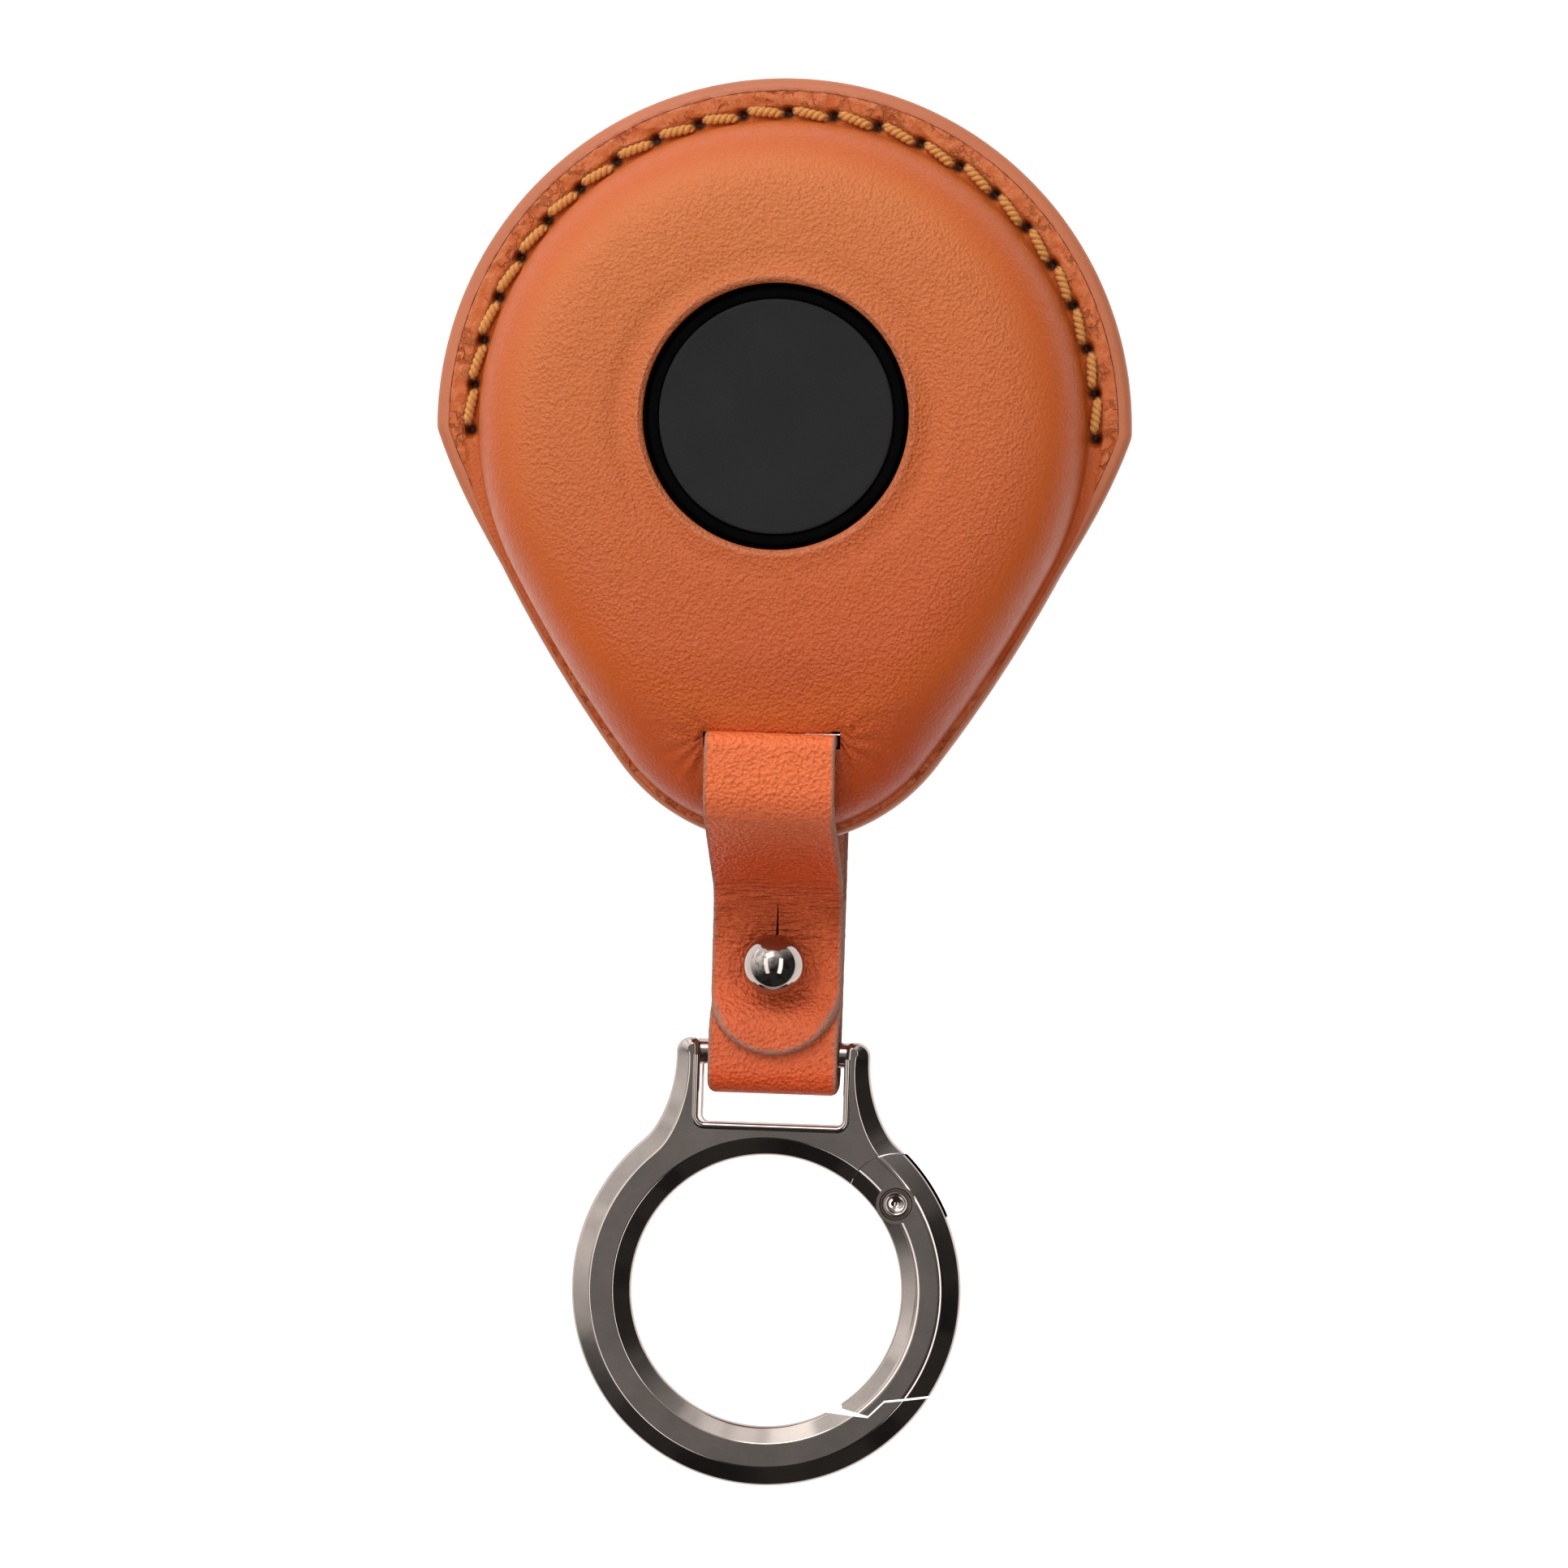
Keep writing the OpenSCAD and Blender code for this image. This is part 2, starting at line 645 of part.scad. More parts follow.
spring_r = pin_r + spring_out;
spring_sides = 6;
spring_steps = 8;
spring_ring_count = ceil(spring_turns * spring_steps);
function spring_ring(i) =
    let (t = i / spring_steps, a = 360 * t)
    [for (j = [0:spring_sides - 1])
        let (b = -360 * j / spring_sides, r = spring_r + spring_wire_d / 2 * cos(b))
        [r * cos(a), r * sin(a), spring_rise * t + spring_wire_d / 2 * sin(b)]];
module gate_spring() color(steel_colour) ring_place() at_pivot(spring_low_z) {
    points = [for (i = [0:spring_ring_count]) for (p = spring_ring(i)) p];
    n = spring_sides;
    last = spring_ring_count * n;
    polyhedron(
        points = points,
        faces = concat(
            [for (i = [0:spring_ring_count - 1]) for (f = ring_faces(points, n, i, i + 1)) f],
            [for (j = [1:n - 2]) [0, j, j + 1]],
            [for (j = [1:n - 2]) [last, last + j + 1, last + j]]
        )
    );
}

// The key fob that the cover holds: two case halves, a round face, a board and a coin cell
fob_gap = 0.45;
fob_depth = lining_inner_depth + fob_gap;
fob_inner_depth = fob_depth + fob_wall;
fob_tail_gap = 1.8;
fob_tail_y = slot_y + strap_t / 2 + fob_tail_gap;
fob_seam_gap = 0.02;
module fob_trim() translate([-2 * head_r, fob_tail_y - 4 * head_r, -over])
    cube([4 * head_r, 4 * head_r, cover_t]);
module fob_half() difference() {
    capped_loft(concat(
        reversed(inner_rings(fob_inner_depth, fob_seam_gap)),
        inner_rings(fob_depth, fob_seam_gap)
    ));
    fob_trim();
}
fob_top_z = cover_t - fob_depth;
fob_floor_z = fob_inner_depth;
module fob_upper_case() color(black_colour) front_half() fob_half();

board_gap = 0.1;
board_z = fob_floor_z + cell_t + board_gap;
board_t = 1;
board_edge_gap = 5;
post_r = 1.5;
post_in = 3;
post_reach = head_r - fob_inner_depth - board_edge_gap - post_in;
post_angles = [20, 70, 110, 160, 200, 340];
module fob_lower_case() color(black_colour) {
    rear_half() fob_half();
    for (a = post_angles)
        translate([post_reach * cos(a), head_y + post_reach * sin(a), fob_floor_z - fob_wall / 2])
            cylinder(r = post_r, h = board_z - fob_floor_z + fob_wall / 2);
}
bezel_w = 1;
bezel_rise = leather_t + fob_gap;
module fob_bezel() color(black_colour) translate([0, window_y, fob_top_z]) difference() {
    cylinder(r = fob_face_r, h = bezel_rise);
    translate([0, 0, -over]) cylinder(r = fob_face_r - bezel_w, h = bezel_rise + 2 * over);
}
disc_sink = 0.2;
disc_rise = bezel_rise - disc_sink;
disc_gap = 0.05;
module fob_face_disc() color(face_colour) translate([0, window_y, fob_top_z])
    cylinder(r = fob_face_r - bezel_w - disc_gap, h = disc_rise);
module fob_circuit_board() color(board_colour) translate([0, 0, board_z])
    linear_extrude(board_t) intersection() {
        polygon([for (s = stations) inset_point(s, fob_inner_depth + board_edge_gap)]);
        translate([-head_r, fob_tail_y + fob_wall + fob_gap]) square([2 * head_r, 3 * head_r]);
    }
module fob_coin_cell() color(steel_colour) translate([0, head_y, fob_floor_z])
    cylinder(r = cell_r, h = cell_t);

front_shell();
rear_shell();
front_lining();
rear_lining();
front_stitches();
rear_stitches();
strap_upper();
strap_lower();
strap_tongue();
stud_head();
stud_screw();
ring_frame();
gate();
gate_pivot_pin();
gate_spring();
fob_upper_case();
fob_lower_case();
fob_bezel();
fob_face_disc();
fob_circuit_board();
fob_coin_cell();
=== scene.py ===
import math

import bmesh
import bpy
import numpy as np
from bpy.props import FloatProperty, FloatVectorProperty, PointerProperty
from bpy.types import Operator, Panel, PropertyGroup
from mathutils import Matrix, Vector, geometry, kdtree, noise


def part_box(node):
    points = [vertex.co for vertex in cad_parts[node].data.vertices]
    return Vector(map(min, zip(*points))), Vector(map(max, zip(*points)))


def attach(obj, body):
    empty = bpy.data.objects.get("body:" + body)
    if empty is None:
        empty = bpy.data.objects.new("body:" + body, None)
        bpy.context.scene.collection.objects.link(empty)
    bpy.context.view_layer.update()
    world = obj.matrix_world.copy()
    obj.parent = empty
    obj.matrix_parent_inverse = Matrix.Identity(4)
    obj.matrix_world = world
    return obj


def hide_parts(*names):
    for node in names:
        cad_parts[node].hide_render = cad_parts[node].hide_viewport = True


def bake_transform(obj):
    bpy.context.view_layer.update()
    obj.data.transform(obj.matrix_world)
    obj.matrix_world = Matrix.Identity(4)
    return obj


bl_info = {
    "name": "Key fob cover builder",
    "version": (1, 0, 0),
    "blender": (4, 5, 0),
    "location": "View3D > Sidebar > Fob Cover",
    "description": "Builds a moulded leather key fob cover, its strap, stud and gate ring",
    "category": "Add Mesh",
}

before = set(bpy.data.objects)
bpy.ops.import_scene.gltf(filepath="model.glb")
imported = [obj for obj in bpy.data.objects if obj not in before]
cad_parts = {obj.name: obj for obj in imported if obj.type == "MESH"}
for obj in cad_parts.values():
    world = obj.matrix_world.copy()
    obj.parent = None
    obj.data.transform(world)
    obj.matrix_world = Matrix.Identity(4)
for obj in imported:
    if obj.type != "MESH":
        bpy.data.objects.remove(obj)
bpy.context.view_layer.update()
SHELL_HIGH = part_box("front_shell")[1]
REAR_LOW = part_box("rear_shell")[0]
BEZEL_LOW, BEZEL_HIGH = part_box("fob_bezel")
FACE_LOW, FACE_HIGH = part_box("fob_face_disc")

HALVES = ((True, "front"), (False, "rear"))

# Places and widths that follow from no size in the panel, in metres
SLOT_ABOVE_END = 0.00859
BEND_BELOW_END = 0.00526
BAR_BELOW_HEAD = 0.05778
STUD_BELOW_BEND = 0.0069
BAR_OVER_RING = 0.00387
SLOT_UNDER_BAR = 0.0066
SURROUND_W = 0.0054
RIM_W = 0.00075
SLOT_CUT_DEPTHS = (0.0003, 0.0105)
PLY_GAP = 0.00005
HINGE_R = 0.0046
HINGE_GAP = 0.0001
CUT_OVER = 0.0005
MERGE = 1e-8
RING_SHARP = 32

# Middle of the ring's thickness, the bar's top above it, and the strap's clearance over the bar
RING_MID_Z, BAR_UP, BAR_GAP = 0.0025, 0.0012, 0.0002
# Bend radii of the strap's centre line: at the cover's tail, and where it steps down to the loop
TAIL_BEND_R, STEP_R, REAR_STEP_R = 0.0036, 0.0030, 0.0024
# How far above and below its bend the strap step works out places on the strap
BLEND_ABOVE, BLEND_BELOW = 0.0030, 0.0022
KEYHOLE_R, SCREW_POCKET_R, SCREW_BORE_R = 0.00205, 0.00225, 0.00105
GATE_TURN_DEG = 35.4

PLY_SIDES, PLY_STEPS = 10, 34


# Sizes and colours that a user may change

def length(name, description, default, precision=5):
    """A size in metres for the panel."""
    return FloatProperty(name=name, description=description, default=default, unit="LENGTH",
                         precision=precision)


def tint(name, description, default):
    """A colour for the panel."""
    return FloatVectorProperty(name=name, description=description, default=default,
                               subtype="COLOR", size=3)


class CoverSizes(PropertyGroup):
    head_r: length("Head radius", "Radius of the round head at the dome's foot", 0.028)
    side_r: length("Side radius", "Radius of the long side arcs", 0.132)
    tail_r: length("Tail radius", "Radius of the round tail", 0.017)
    cover_t: length("Thickness", "Thickness of the whole cover, front to back", SHELL_HIGH.z - REAR_LOW.z)
    leather_t: length("Shell leather", "Thickness of the shell leather", 0.00125)
    lining_t: length("Lining", "Thickness of the suede lining", 0.0005)
    flange_w: length("Flange width", "Width of the sewn flange around the head", 0.00405)
    tail_flange_w: length("Tail flange width", "Width of the flange around the tail", 0.001)
    paint_w: length("Painted edge", "Width of the smooth painted edge of the flange", 0.00115)
    dome_run: length("Dome run", "Run of the dome's side, from its foot to the flat top", 0.009)
    window_r: length("Window radius", "Radius of the round window in the front", 0.0122)
    window_up: length("Window height", "Window's centre above the head's centre", 0.0007)
    head_y: length("Head centre", "Place of the head's centre along Y", SHELL_HIGH.y - 0.03205, 6)
    stitch_out: length("Stitch line", "Distance from the dome's foot to the stitches", 0.00085)
    stitch_pitch: length("Stitch pitch", "Distance between two stitch holes", 0.00415)
    thread_d: length("Thread", "Thickness of the two-ply thread", 0.0009)
    wrinkle: length("Wrinkle depth", "Depth of the wrinkles on the flange and at the slot", 0.00018)


class StrapSizes(PropertyGroup):
    strap_w: length("Strap width", "Width of the strap", 0.012)
    strap_t: length("Strap leather", "Thickness of the strap leather", 0.0012)
    stud_r: length("Ball radius", "Radius of the ball stud", 0.00285)
    hang_yaw: FloatProperty(name="Hang", description="Turn of the strap to the left, as it lies",
                            default=math.radians(0.9), subtype="ANGLE")
    raw_w: length("Raw edge", "Width of the pale raw band along the strap's edges", 0.00030)


class RingSizes(PropertyGroup):
    ring_r: length("Ring radius", "Outer radius of the ring", 0.01805)
    band_w: length("Band width", "Width of the ring's band, from the eye to the outer edge", 0.00555)
    ring_t: length("Ring thickness", "Thickness of the ring", 0.005)
    outer_bevel: length("Outer bevel", "Width of the bevel along the outer edge", 0.00175)
    inner_bevel: length("Inner bevel", "Width of the bevel along the eye", 0.0016)
    bevel_h: length("Bevel height", "Height of both bevels", 0.00115)
    edge_r: length("Edge rounding", "Rounding of the edges between the facets", 0.00030)
    frame_half_w: length("Frame half width", "Half of the width of the strap frame", 0.009)
    slot_half_w: length("Slot half width", "Half of the width of the strap frame's slot", 0.0068)
    bar_r: length("Bar radius", "Radius of the bar that the strap goes round", 0.0012)
    pin_r: length("Pin radius", "Radius of the gate's pivot pin", 0.00085)


class FinishColours(PropertyGroup):
    shell: tint("Shell leather", "Orange leather of the shells", (0.600, 0.146, 0.032))
    paint: tint("Edge paint", "Smooth painted edge of the flange", (0.510, 0.155, 0.068))
    strap: tint("Strap leather", "Leather of the strap", (0.680, 0.120, 0.036))
    raw: tint("Raw edge", "Pale raw edge of the strap", (0.610, 0.290, 0.200))
    thread: tint("Thread", "Golden tan thread", (0.700, 0.310, 0.070))
    suede: tint("Lining suede", "Brown suede of the lining", (0.170, 0.075, 0.035))
    gunmetal: tint("Gunmetal", "Polished dark plating of the ring and stud", (0.420, 0.362, 0.328))
    steel: tint("Steel", "Bare steel of the spring and coin cell", (0.60, 0.60, 0.58))
    black: tint("Black plastic", "Black plastic of the fob's case", (0.0015, 0.0015, 0.0015))
    face: tint("Face plastic", "Dark grey plastic of the fob's face", (0.022, 0.022, 0.022))
    board: tint("Board", "Green of the circuit board", (0.012, 0.100, 0.030))


# Small helpers for shapes

def smooth(t):
    """A soft step from 0 to 1."""
    c = np.clip(t, 0.0, 1.0)
    return c * c * (3.0 - 2.0 * c)


def bell(away, width, power=2):
    """1 at no distance, and fading to 0 over about the width; more power makes a flatter top."""
    return np.exp(-(away / width) ** power)


def grain_noise(points, scale, seed=0.0):
    """Smooth noise from -1 to 1 at each point, with waves about 1 / scale long."""
    return np.array([noise.noise(Vector((p[0] * scale + seed, p[1] * scale, p[2] * scale)))
                     for p in points])


def soften(mesh, sharp):
    """Smooth shading, with the edges over an angle in degrees kept sharp."""
    mesh.shade_smooth()
    mesh.set_sharp_from_angle(angle=math.radians(sharp))


def new_piece(name, points, faces, finish, sharp=40.0):
    """A mesh piece with one finish, smooth but for its sharp edges."""
    mesh = bpy.data.meshes.new(name)
    mesh.from_pydata([tuple(p) for p in points], [], faces)
    mesh.validate(clean_customdata=False)
    mesh.materials.append(material(finish))
    soften(mesh, sharp)
    piece = bpy.data.objects.new(name, mesh)
    bpy.context.scene.collection.objects.link(piece)
    return piece


def fit(piece, body, node, sharp=None):
    """Puts a piece on its body in the place of a CAD node, which it hides, and softens it where an angle is
    given.
    """
    if sharp:
        soften(piece.data, sharp)
    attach(piece, body)
    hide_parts(node)


def loop_faces(rows, n, closed=True):
    """Quads between rows of n points each; the last row joins the first where closed."""
    faces = []
    last = rows if closed else rows - 1
    for i in range(last):
        a, b = i * n, ((i + 1) % rows) * n
        for j in range(n):
            k = (j + 1) % n
            faces.append((a + j, b + j, b + k, a + k))
    return faces


def capped(faces, row, n):
    """The faces without the band that ends at a row of n points, and with both its sides capped."""
    a, b = (row - 1) * n, row * n
    kept = [f for f in faces if not (a <= f[0] < b)]
    return kept + [tuple(range(b - 1, a - 1, -1)), tuple(range(b, b + n))]


def end_caps(rows, n):
    """Caps for both ends of a tube with rows of n points."""
    last = (rows - 1) * n
    return [tuple(range(n - 1, -1, -1)), tuple(range(last, last + n))]


def paint_mask(mesh, name, values):
    """Stores a share for each vertex, which a finish reads by its name."""
    layer = mesh.attributes.get(name) or mesh.attributes.new(name, "FLOAT", "POINT")
    layer.data.foreach_set("value", np.asarray(values, np.float32))


def carry_masks(mesh, old_points, masks):
    """Gives each vertex the masks of the nearest point of the uncut mesh."""
    tree = kdtree.KDTree(len(old_points))
    for i, p in enumerate(old_points):
        tree.insert(p, i)
    tree.balance()
    nearest = [tree.find(v.co)[1] for v in mesh.vertices]
    for name, values in masks.items():
        paint_mask(mesh, name, values[nearest])


def face_out(mesh, merge=None):
    """Turns all faces outward, after points closer than merge are joined."""
    tidy = bmesh.new()
    tidy.from_mesh(mesh)
    if merge:
        bmesh.ops.remove_doubles(tidy, verts=tidy.verts, dist=merge)
    bmesh.ops.recalc_face_normals(tidy, faces=tidy.faces)
    tidy.to_mesh(mesh)
    tidy.free()


def cut(piece, cutters, operation="DIFFERENCE"):
    """Cuts the piece with throwaway meshes, each a list of points and a list of faces."""
    for points, faces in cutters:
        mesh = bpy.data.meshes.new("cutter")
        mesh.from_pydata([tuple(p) for p in points], [], faces)
        face_out(mesh)
        tool = bpy.data.objects.new("cutter", mesh)
        bpy.context.scene.collection.objects.link(tool)
        step = piece.modifiers.new("cut", "BOOLEAN")
        step.operation = operation
        step.solver = "EXACT"
        step.object = tool
        bpy.context.view_layer.update()
        made = bpy.data.meshes.new_from_object(
            piece.evaluated_get(bpy.context.evaluated_depsgraph_get()))
        if not made.polygons:
            raise RuntimeError("cutting " + piece.name + " left nothing")
        piece.modifiers.clear()
        piece.data = made
        bpy.data.objects.remove(tool)


def prism(outline, low, high):
    """Points and faces of a straight prism over an outline of (x, y) pairs."""
    n = len(outline)
    points = [(x, y, low) for x, y in outline] + [(x, y, high) for x, y in outline]
    faces = [tuple(range(n - 1, -1, -1)), tuple(range(n, 2 * n))]
    faces += [(j, (j + 1) % n, n + (j + 1) % n, n + j) for j in range(n)]
    return points, faces


def disc_outline(x, y, r, steps=64):
    """(x, y) of points around a circle."""
    return [(x + r * math.cos(2 * math.pi * i / steps), y + r * math.sin(2 * math.pi * i / steps))
            for i in range(steps)]


def heading_along(path):
    """Unit heading at each point of a path."""
    heading = np.gradient(path, axis=0)
    return heading / np.linalg.norm(heading, axis=1)[:, None]


def lathe(profile, x, y, steps=96):
    """Points and faces of a closed turned piece about a vertical axis, from (r, z) pairs."""
    points, faces, rings = [], [], []
    for r, z in profile:
        if r < 1e-7:
            rings.append([len(points)] * steps)
            points.append((x, y, z))
        else:
            rings.append(list(range(len(points), len(points) + steps)))
            points += [(*p, z) for p in disc_outline(x, y, r, steps)]
    for a, b in zip(rings, rings[1:]):
        for i in range(steps):
            k = (i + 1) % steps
            corners = [a[i], a[k], b[k], b[i]]
            face = [c for j, c in enumerate(corners) if c not in corners[:j]]
            if len(face) > 2:
                faces.append(tuple(face))
    return points, faces


def turned_piece(name, profile, x, y, finish, body, node):
    """A piece turned about a vertical axis, in the place of a CAD node."""
    points, faces = lathe(profile, x, y)
    piece = new_piece(name, points, faces, finish)
    face_out(piece.data, MERGE)
    fit(piece, body, node, sharp=40)


def rounded(corners, radius, steps=3):
    """A run of corners, each an (n, 2) array, with its inner corners rounded."""
    made = [corners[0]]
    for a, b, c in zip(corners, corners[1:], corners[2:]):
        u, v = a - b, c - b
        lu, lv = np.linalg.norm(u, axis=1, keepdims=True), np.linalg.norm(v, axis=1, keepdims=True)
        run = np.minimum(radius, 0.42 * np.minimum(lu, lv))
        start, end = b + u / lu * run, b + v / lv * run
        made.append(start + u / lu * np.minimum(0.25 * run, 0.1 * lu))
        for k in range(steps + 1):
            t = k / steps
            made.append((1 - t) ** 2 * start + 2 * t * (1 - t) * b + t * t * end)
        made.append(end + v / lv * np.minimum(0.25 * run, 0.1 * lv))
    return made + [corners[-1]]


# The cover's outline and heights

class CoverShape:
    """Outline, dome and flange of the cover, in metres, from the sizes in the panel."""

    def __init__(self, s):
        start, end = math.radians(-27.7), math.radians(-36.7)
        self.s, self.start, self.end = s, start, end
        self.half_t = s.cover_t / 2
        self.window_y = s.head_y + s.window_up
        self.rear_mid_y = 0.55 * s.head_y
        self.side_x = (s.head_r - s.side_r) * math.cos(start)
        self.side_y = s.head_y + (s.head_r - s.side_r) * math.sin(start)
        self.tail_x = self.side_x + (s.side_r - s.tail_r) * math.cos(end)
        self.tail_y = self.side_y + (s.side_r - s.tail_r) * math.sin(end)
        self.end_y = self.tail_y - s.tail_r
        self.taper_y = s.head_y - s.head_r * 5 / 7
        self.slot_y = self.end_y + SLOT_ABOVE_END
        self.stitch_r = s.head_r + s.stitch_out
        self.ply_r = s.thread_d * 0.29
        self.stitch_start = math.radians(-1.4)
        arc = math.pi - 2 * self.stitch_start
        self.stitch_count = round(arc * self.stitch_r / s.stitch_pitch)
        self.stitch_step = arc / self.stitch_count

    def stations(self, step):
        """Centre, normal angle and radius at places about step apart around the outline."""
        s, rows = self.s, []

        def arc(cx0, cx1, cy, a0, a1, r, length):
            count = max(2, round(length / step))
            for i in range(count):
                t = i / count
                rows.append((cx0 + (cx1 - cx0) * t, cy, a0 + (a1 - a0) * t, r))

        down = -math.pi / 2
        arc(0, self.tail_x, self.tail_y, down, down, s.tail_r, self.tail_x)
        arc(self.tail_x, self.tail_x, self.tail_y, down, self.end, s.tail_r,
            (self.end - down) * s.tail_r)
        arc(self.side_x, self.side_x, self.side_y, self.end, self.start, s.side_r,
            (self.start - self.end) * s.side_r)
        arc(0, 0, s.head_y, self.start, math.pi / 2, s.head_r, (math.pi / 2 - self.start) * s.head_r)
        top = [(0, s.head_y, math.pi / 2, s.head_r)]
        left = [(-x, y, math.pi - a, r) for x, y, a, r in reversed(rows[1:])]
        return np.array(rows + top + left)

    def place(self, st, out):
        """(x, y) of each station moved out from the dome's foot by out."""
        r = st[:, 3] + out
        return st[:, 0] + r * np.cos(st[:, 2]), st[:, 1] + r * np.sin(st[:, 2])

    def flange_at(self, st):
        """Width of the flange at each station: narrow at the tail, full around the head."""
        s = self.s
        a = np.where(st[:, 2] > math.pi / 2, math.pi - st[:, 2], st[:, 2])
        full = math.radians(-1)
        t = np.clip((a - self.start) / (full - self.start), 0, 1) ** 1.6
        return s.tail_flange_w + (s.flange_w - s.tail_flange_w) * t

    def top(self, y, depth=0.0):
        """Height of the flat top above the parting plane, which falls toward the tail."""
        t = smooth((self.taper_y - y) / (self.taper_y - self.end_y))
        return self.half_t * (1 - 0.32 * t) - depth

    def surround(self, r, bearing):
        """Height of the window's surround against the flat top: a rolled rim in a shallow groove."""
        d = r - self.s.window_r
        groove = 0.00008 + 0.00030 * np.cos(bearing) ** 2
        rim = 0.00045 * bell(d, 0.00022) - 0.00012 * bell(d - 0.0005, 0.0003)
        return -rim - groove * bell(d - 0.0022, 0.00115)

    def dome_rows(self, count):
        """Shares of the dome's run and of its rise, even along its side."""
        a = np.linspace(0, math.pi / 2, count)
        p = 2 / 2.4
        return 1 - np.cos(a) ** p, np.sin(a) ** p

    def hole_places(self):
        """(x, y) of the stitch holes."""
        found = []
        for i in range(self.stitch_count + 1):
            a = self.stitch_start + i * self.stitch_step
            found.append((self.stitch_r * math.cos(a),
                          self.s.head_y + self.stitch_r * math.sin(a)))
        return np.array(found)


def shell_surface(shape, front):
    """Points of one shell above the parting plane, the kind of each, and the faces of its loft."""
    s = shape.s
    st = shape.stations(0.0003)
    n = len(st)
    flange = shape.flange_at(st)
    paint = np.minimum(s.paint_w, 0.45 * flange)
    x0, y0 = shape.place(st, -s.dome_run)
    bearing = np.arctan2(y0 - shape.window_y, x0)
    rows, kinds = [], []

    def add(kind, x, y, z):
        rows.append(np.stack([x, y, np.broadcast_to(z, x.shape)], 1))
        kinds.append(kind)

    def around_window(r):
        return r * np.cos(bearing), shape.window_y + r * np.sin(bearing)

    def toward_middle(k):
        return x0 * (1 - k), y0 + (shape.rear_mid_y - y0) * k

    t, low = s.leather_t, 0.3 * s.leather_t
    add("paint", *shape.place(st, flange - 0.00006), 0.0)
    for k in np.linspace(0, math.pi / 2, 8):
        add("paint", *shape.place(st, flange - paint * (1 - math.cos(k))), low + (t - low) * math.sin(k))
    sewn = flange - paint * 1.06
    add("flange", *shape.place(st, sewn), t - 0.00005)
    for k in np.linspace(0.07, 0.95, 16):
        add("flange", *shape.place(st, sewn * (1 - k)), t)
    for u, rise in zip(*shape.dome_rows(30)):
        x, y = shape.place(st, -s.dome_run * u)
        add("dome", x, y, t + (shape.top(y) - t) * rise)
    if front:
        outer = s.window_r + SURROUND_W
        x1, y1 = around_window(outer)
        for k in np.linspace(0, 1, 24)[1:]:
            x, y = x0 + (x1 - x0) * k, y0 + (y1 - y0) * k
            add("flat", x, y, shape.top(y))
        for r in np.linspace(outer, s.window_r + 0.0002, 26)[1:]:
            x, y = around_window(r)
            kind = "rim" if r < s.window_r + RIM_W else "flat"
            add(kind, x, y, shape.top(y) + shape.surround(r, bearing))
        for out, down in ((0.00005, 0.0003), (0, 0.0005), (0, 0.0009), (0.0001, t)):
            add("rim", *around_window(s.window_r + out), shape.half_t - down)
        add("inside", *around_window(outer), shape.half_t - t)
    else:
        for k in np.linspace(0, 0.96, 30)[1:]:
            x, y = toward_middle(k)
            add("flat", x, y, shape.top(y))
    middle_row = len(rows)
    if not front:
        for k in (0.96, 0.6, 0.0):
            x, y = toward_middle(k)
            add("inside", x, y, shape.top(y, t))
    for u, rise in list(zip(*shape.dome_rows(9)))[::-1]:
        if front or u < 1:
            x, y = shape.place(st, -t - (s.dome_run - t) * u)
            add("inside", x, y, shape.top(y, t) * rise)
    points = np.array(rows)
    kinds = np.array(kinds)
    # The crease at the dome's foot is rounded, as moulded leather is
    first = int(np.argmax(kinds == "dome"))
    for _ in range(5):
        near = slice(first - 2, first + 4)
        points[near] = (points[first - 3:first + 3] + 2 * points[near]
                        + points[first - 1:first + 5]) / 4
    faces = loop_faces(len(points), n)
    if not front:
        faces = capped(faces, middle_row, n)
    return points.reshape(-1, 3), np.repeat(kinds, n), faces


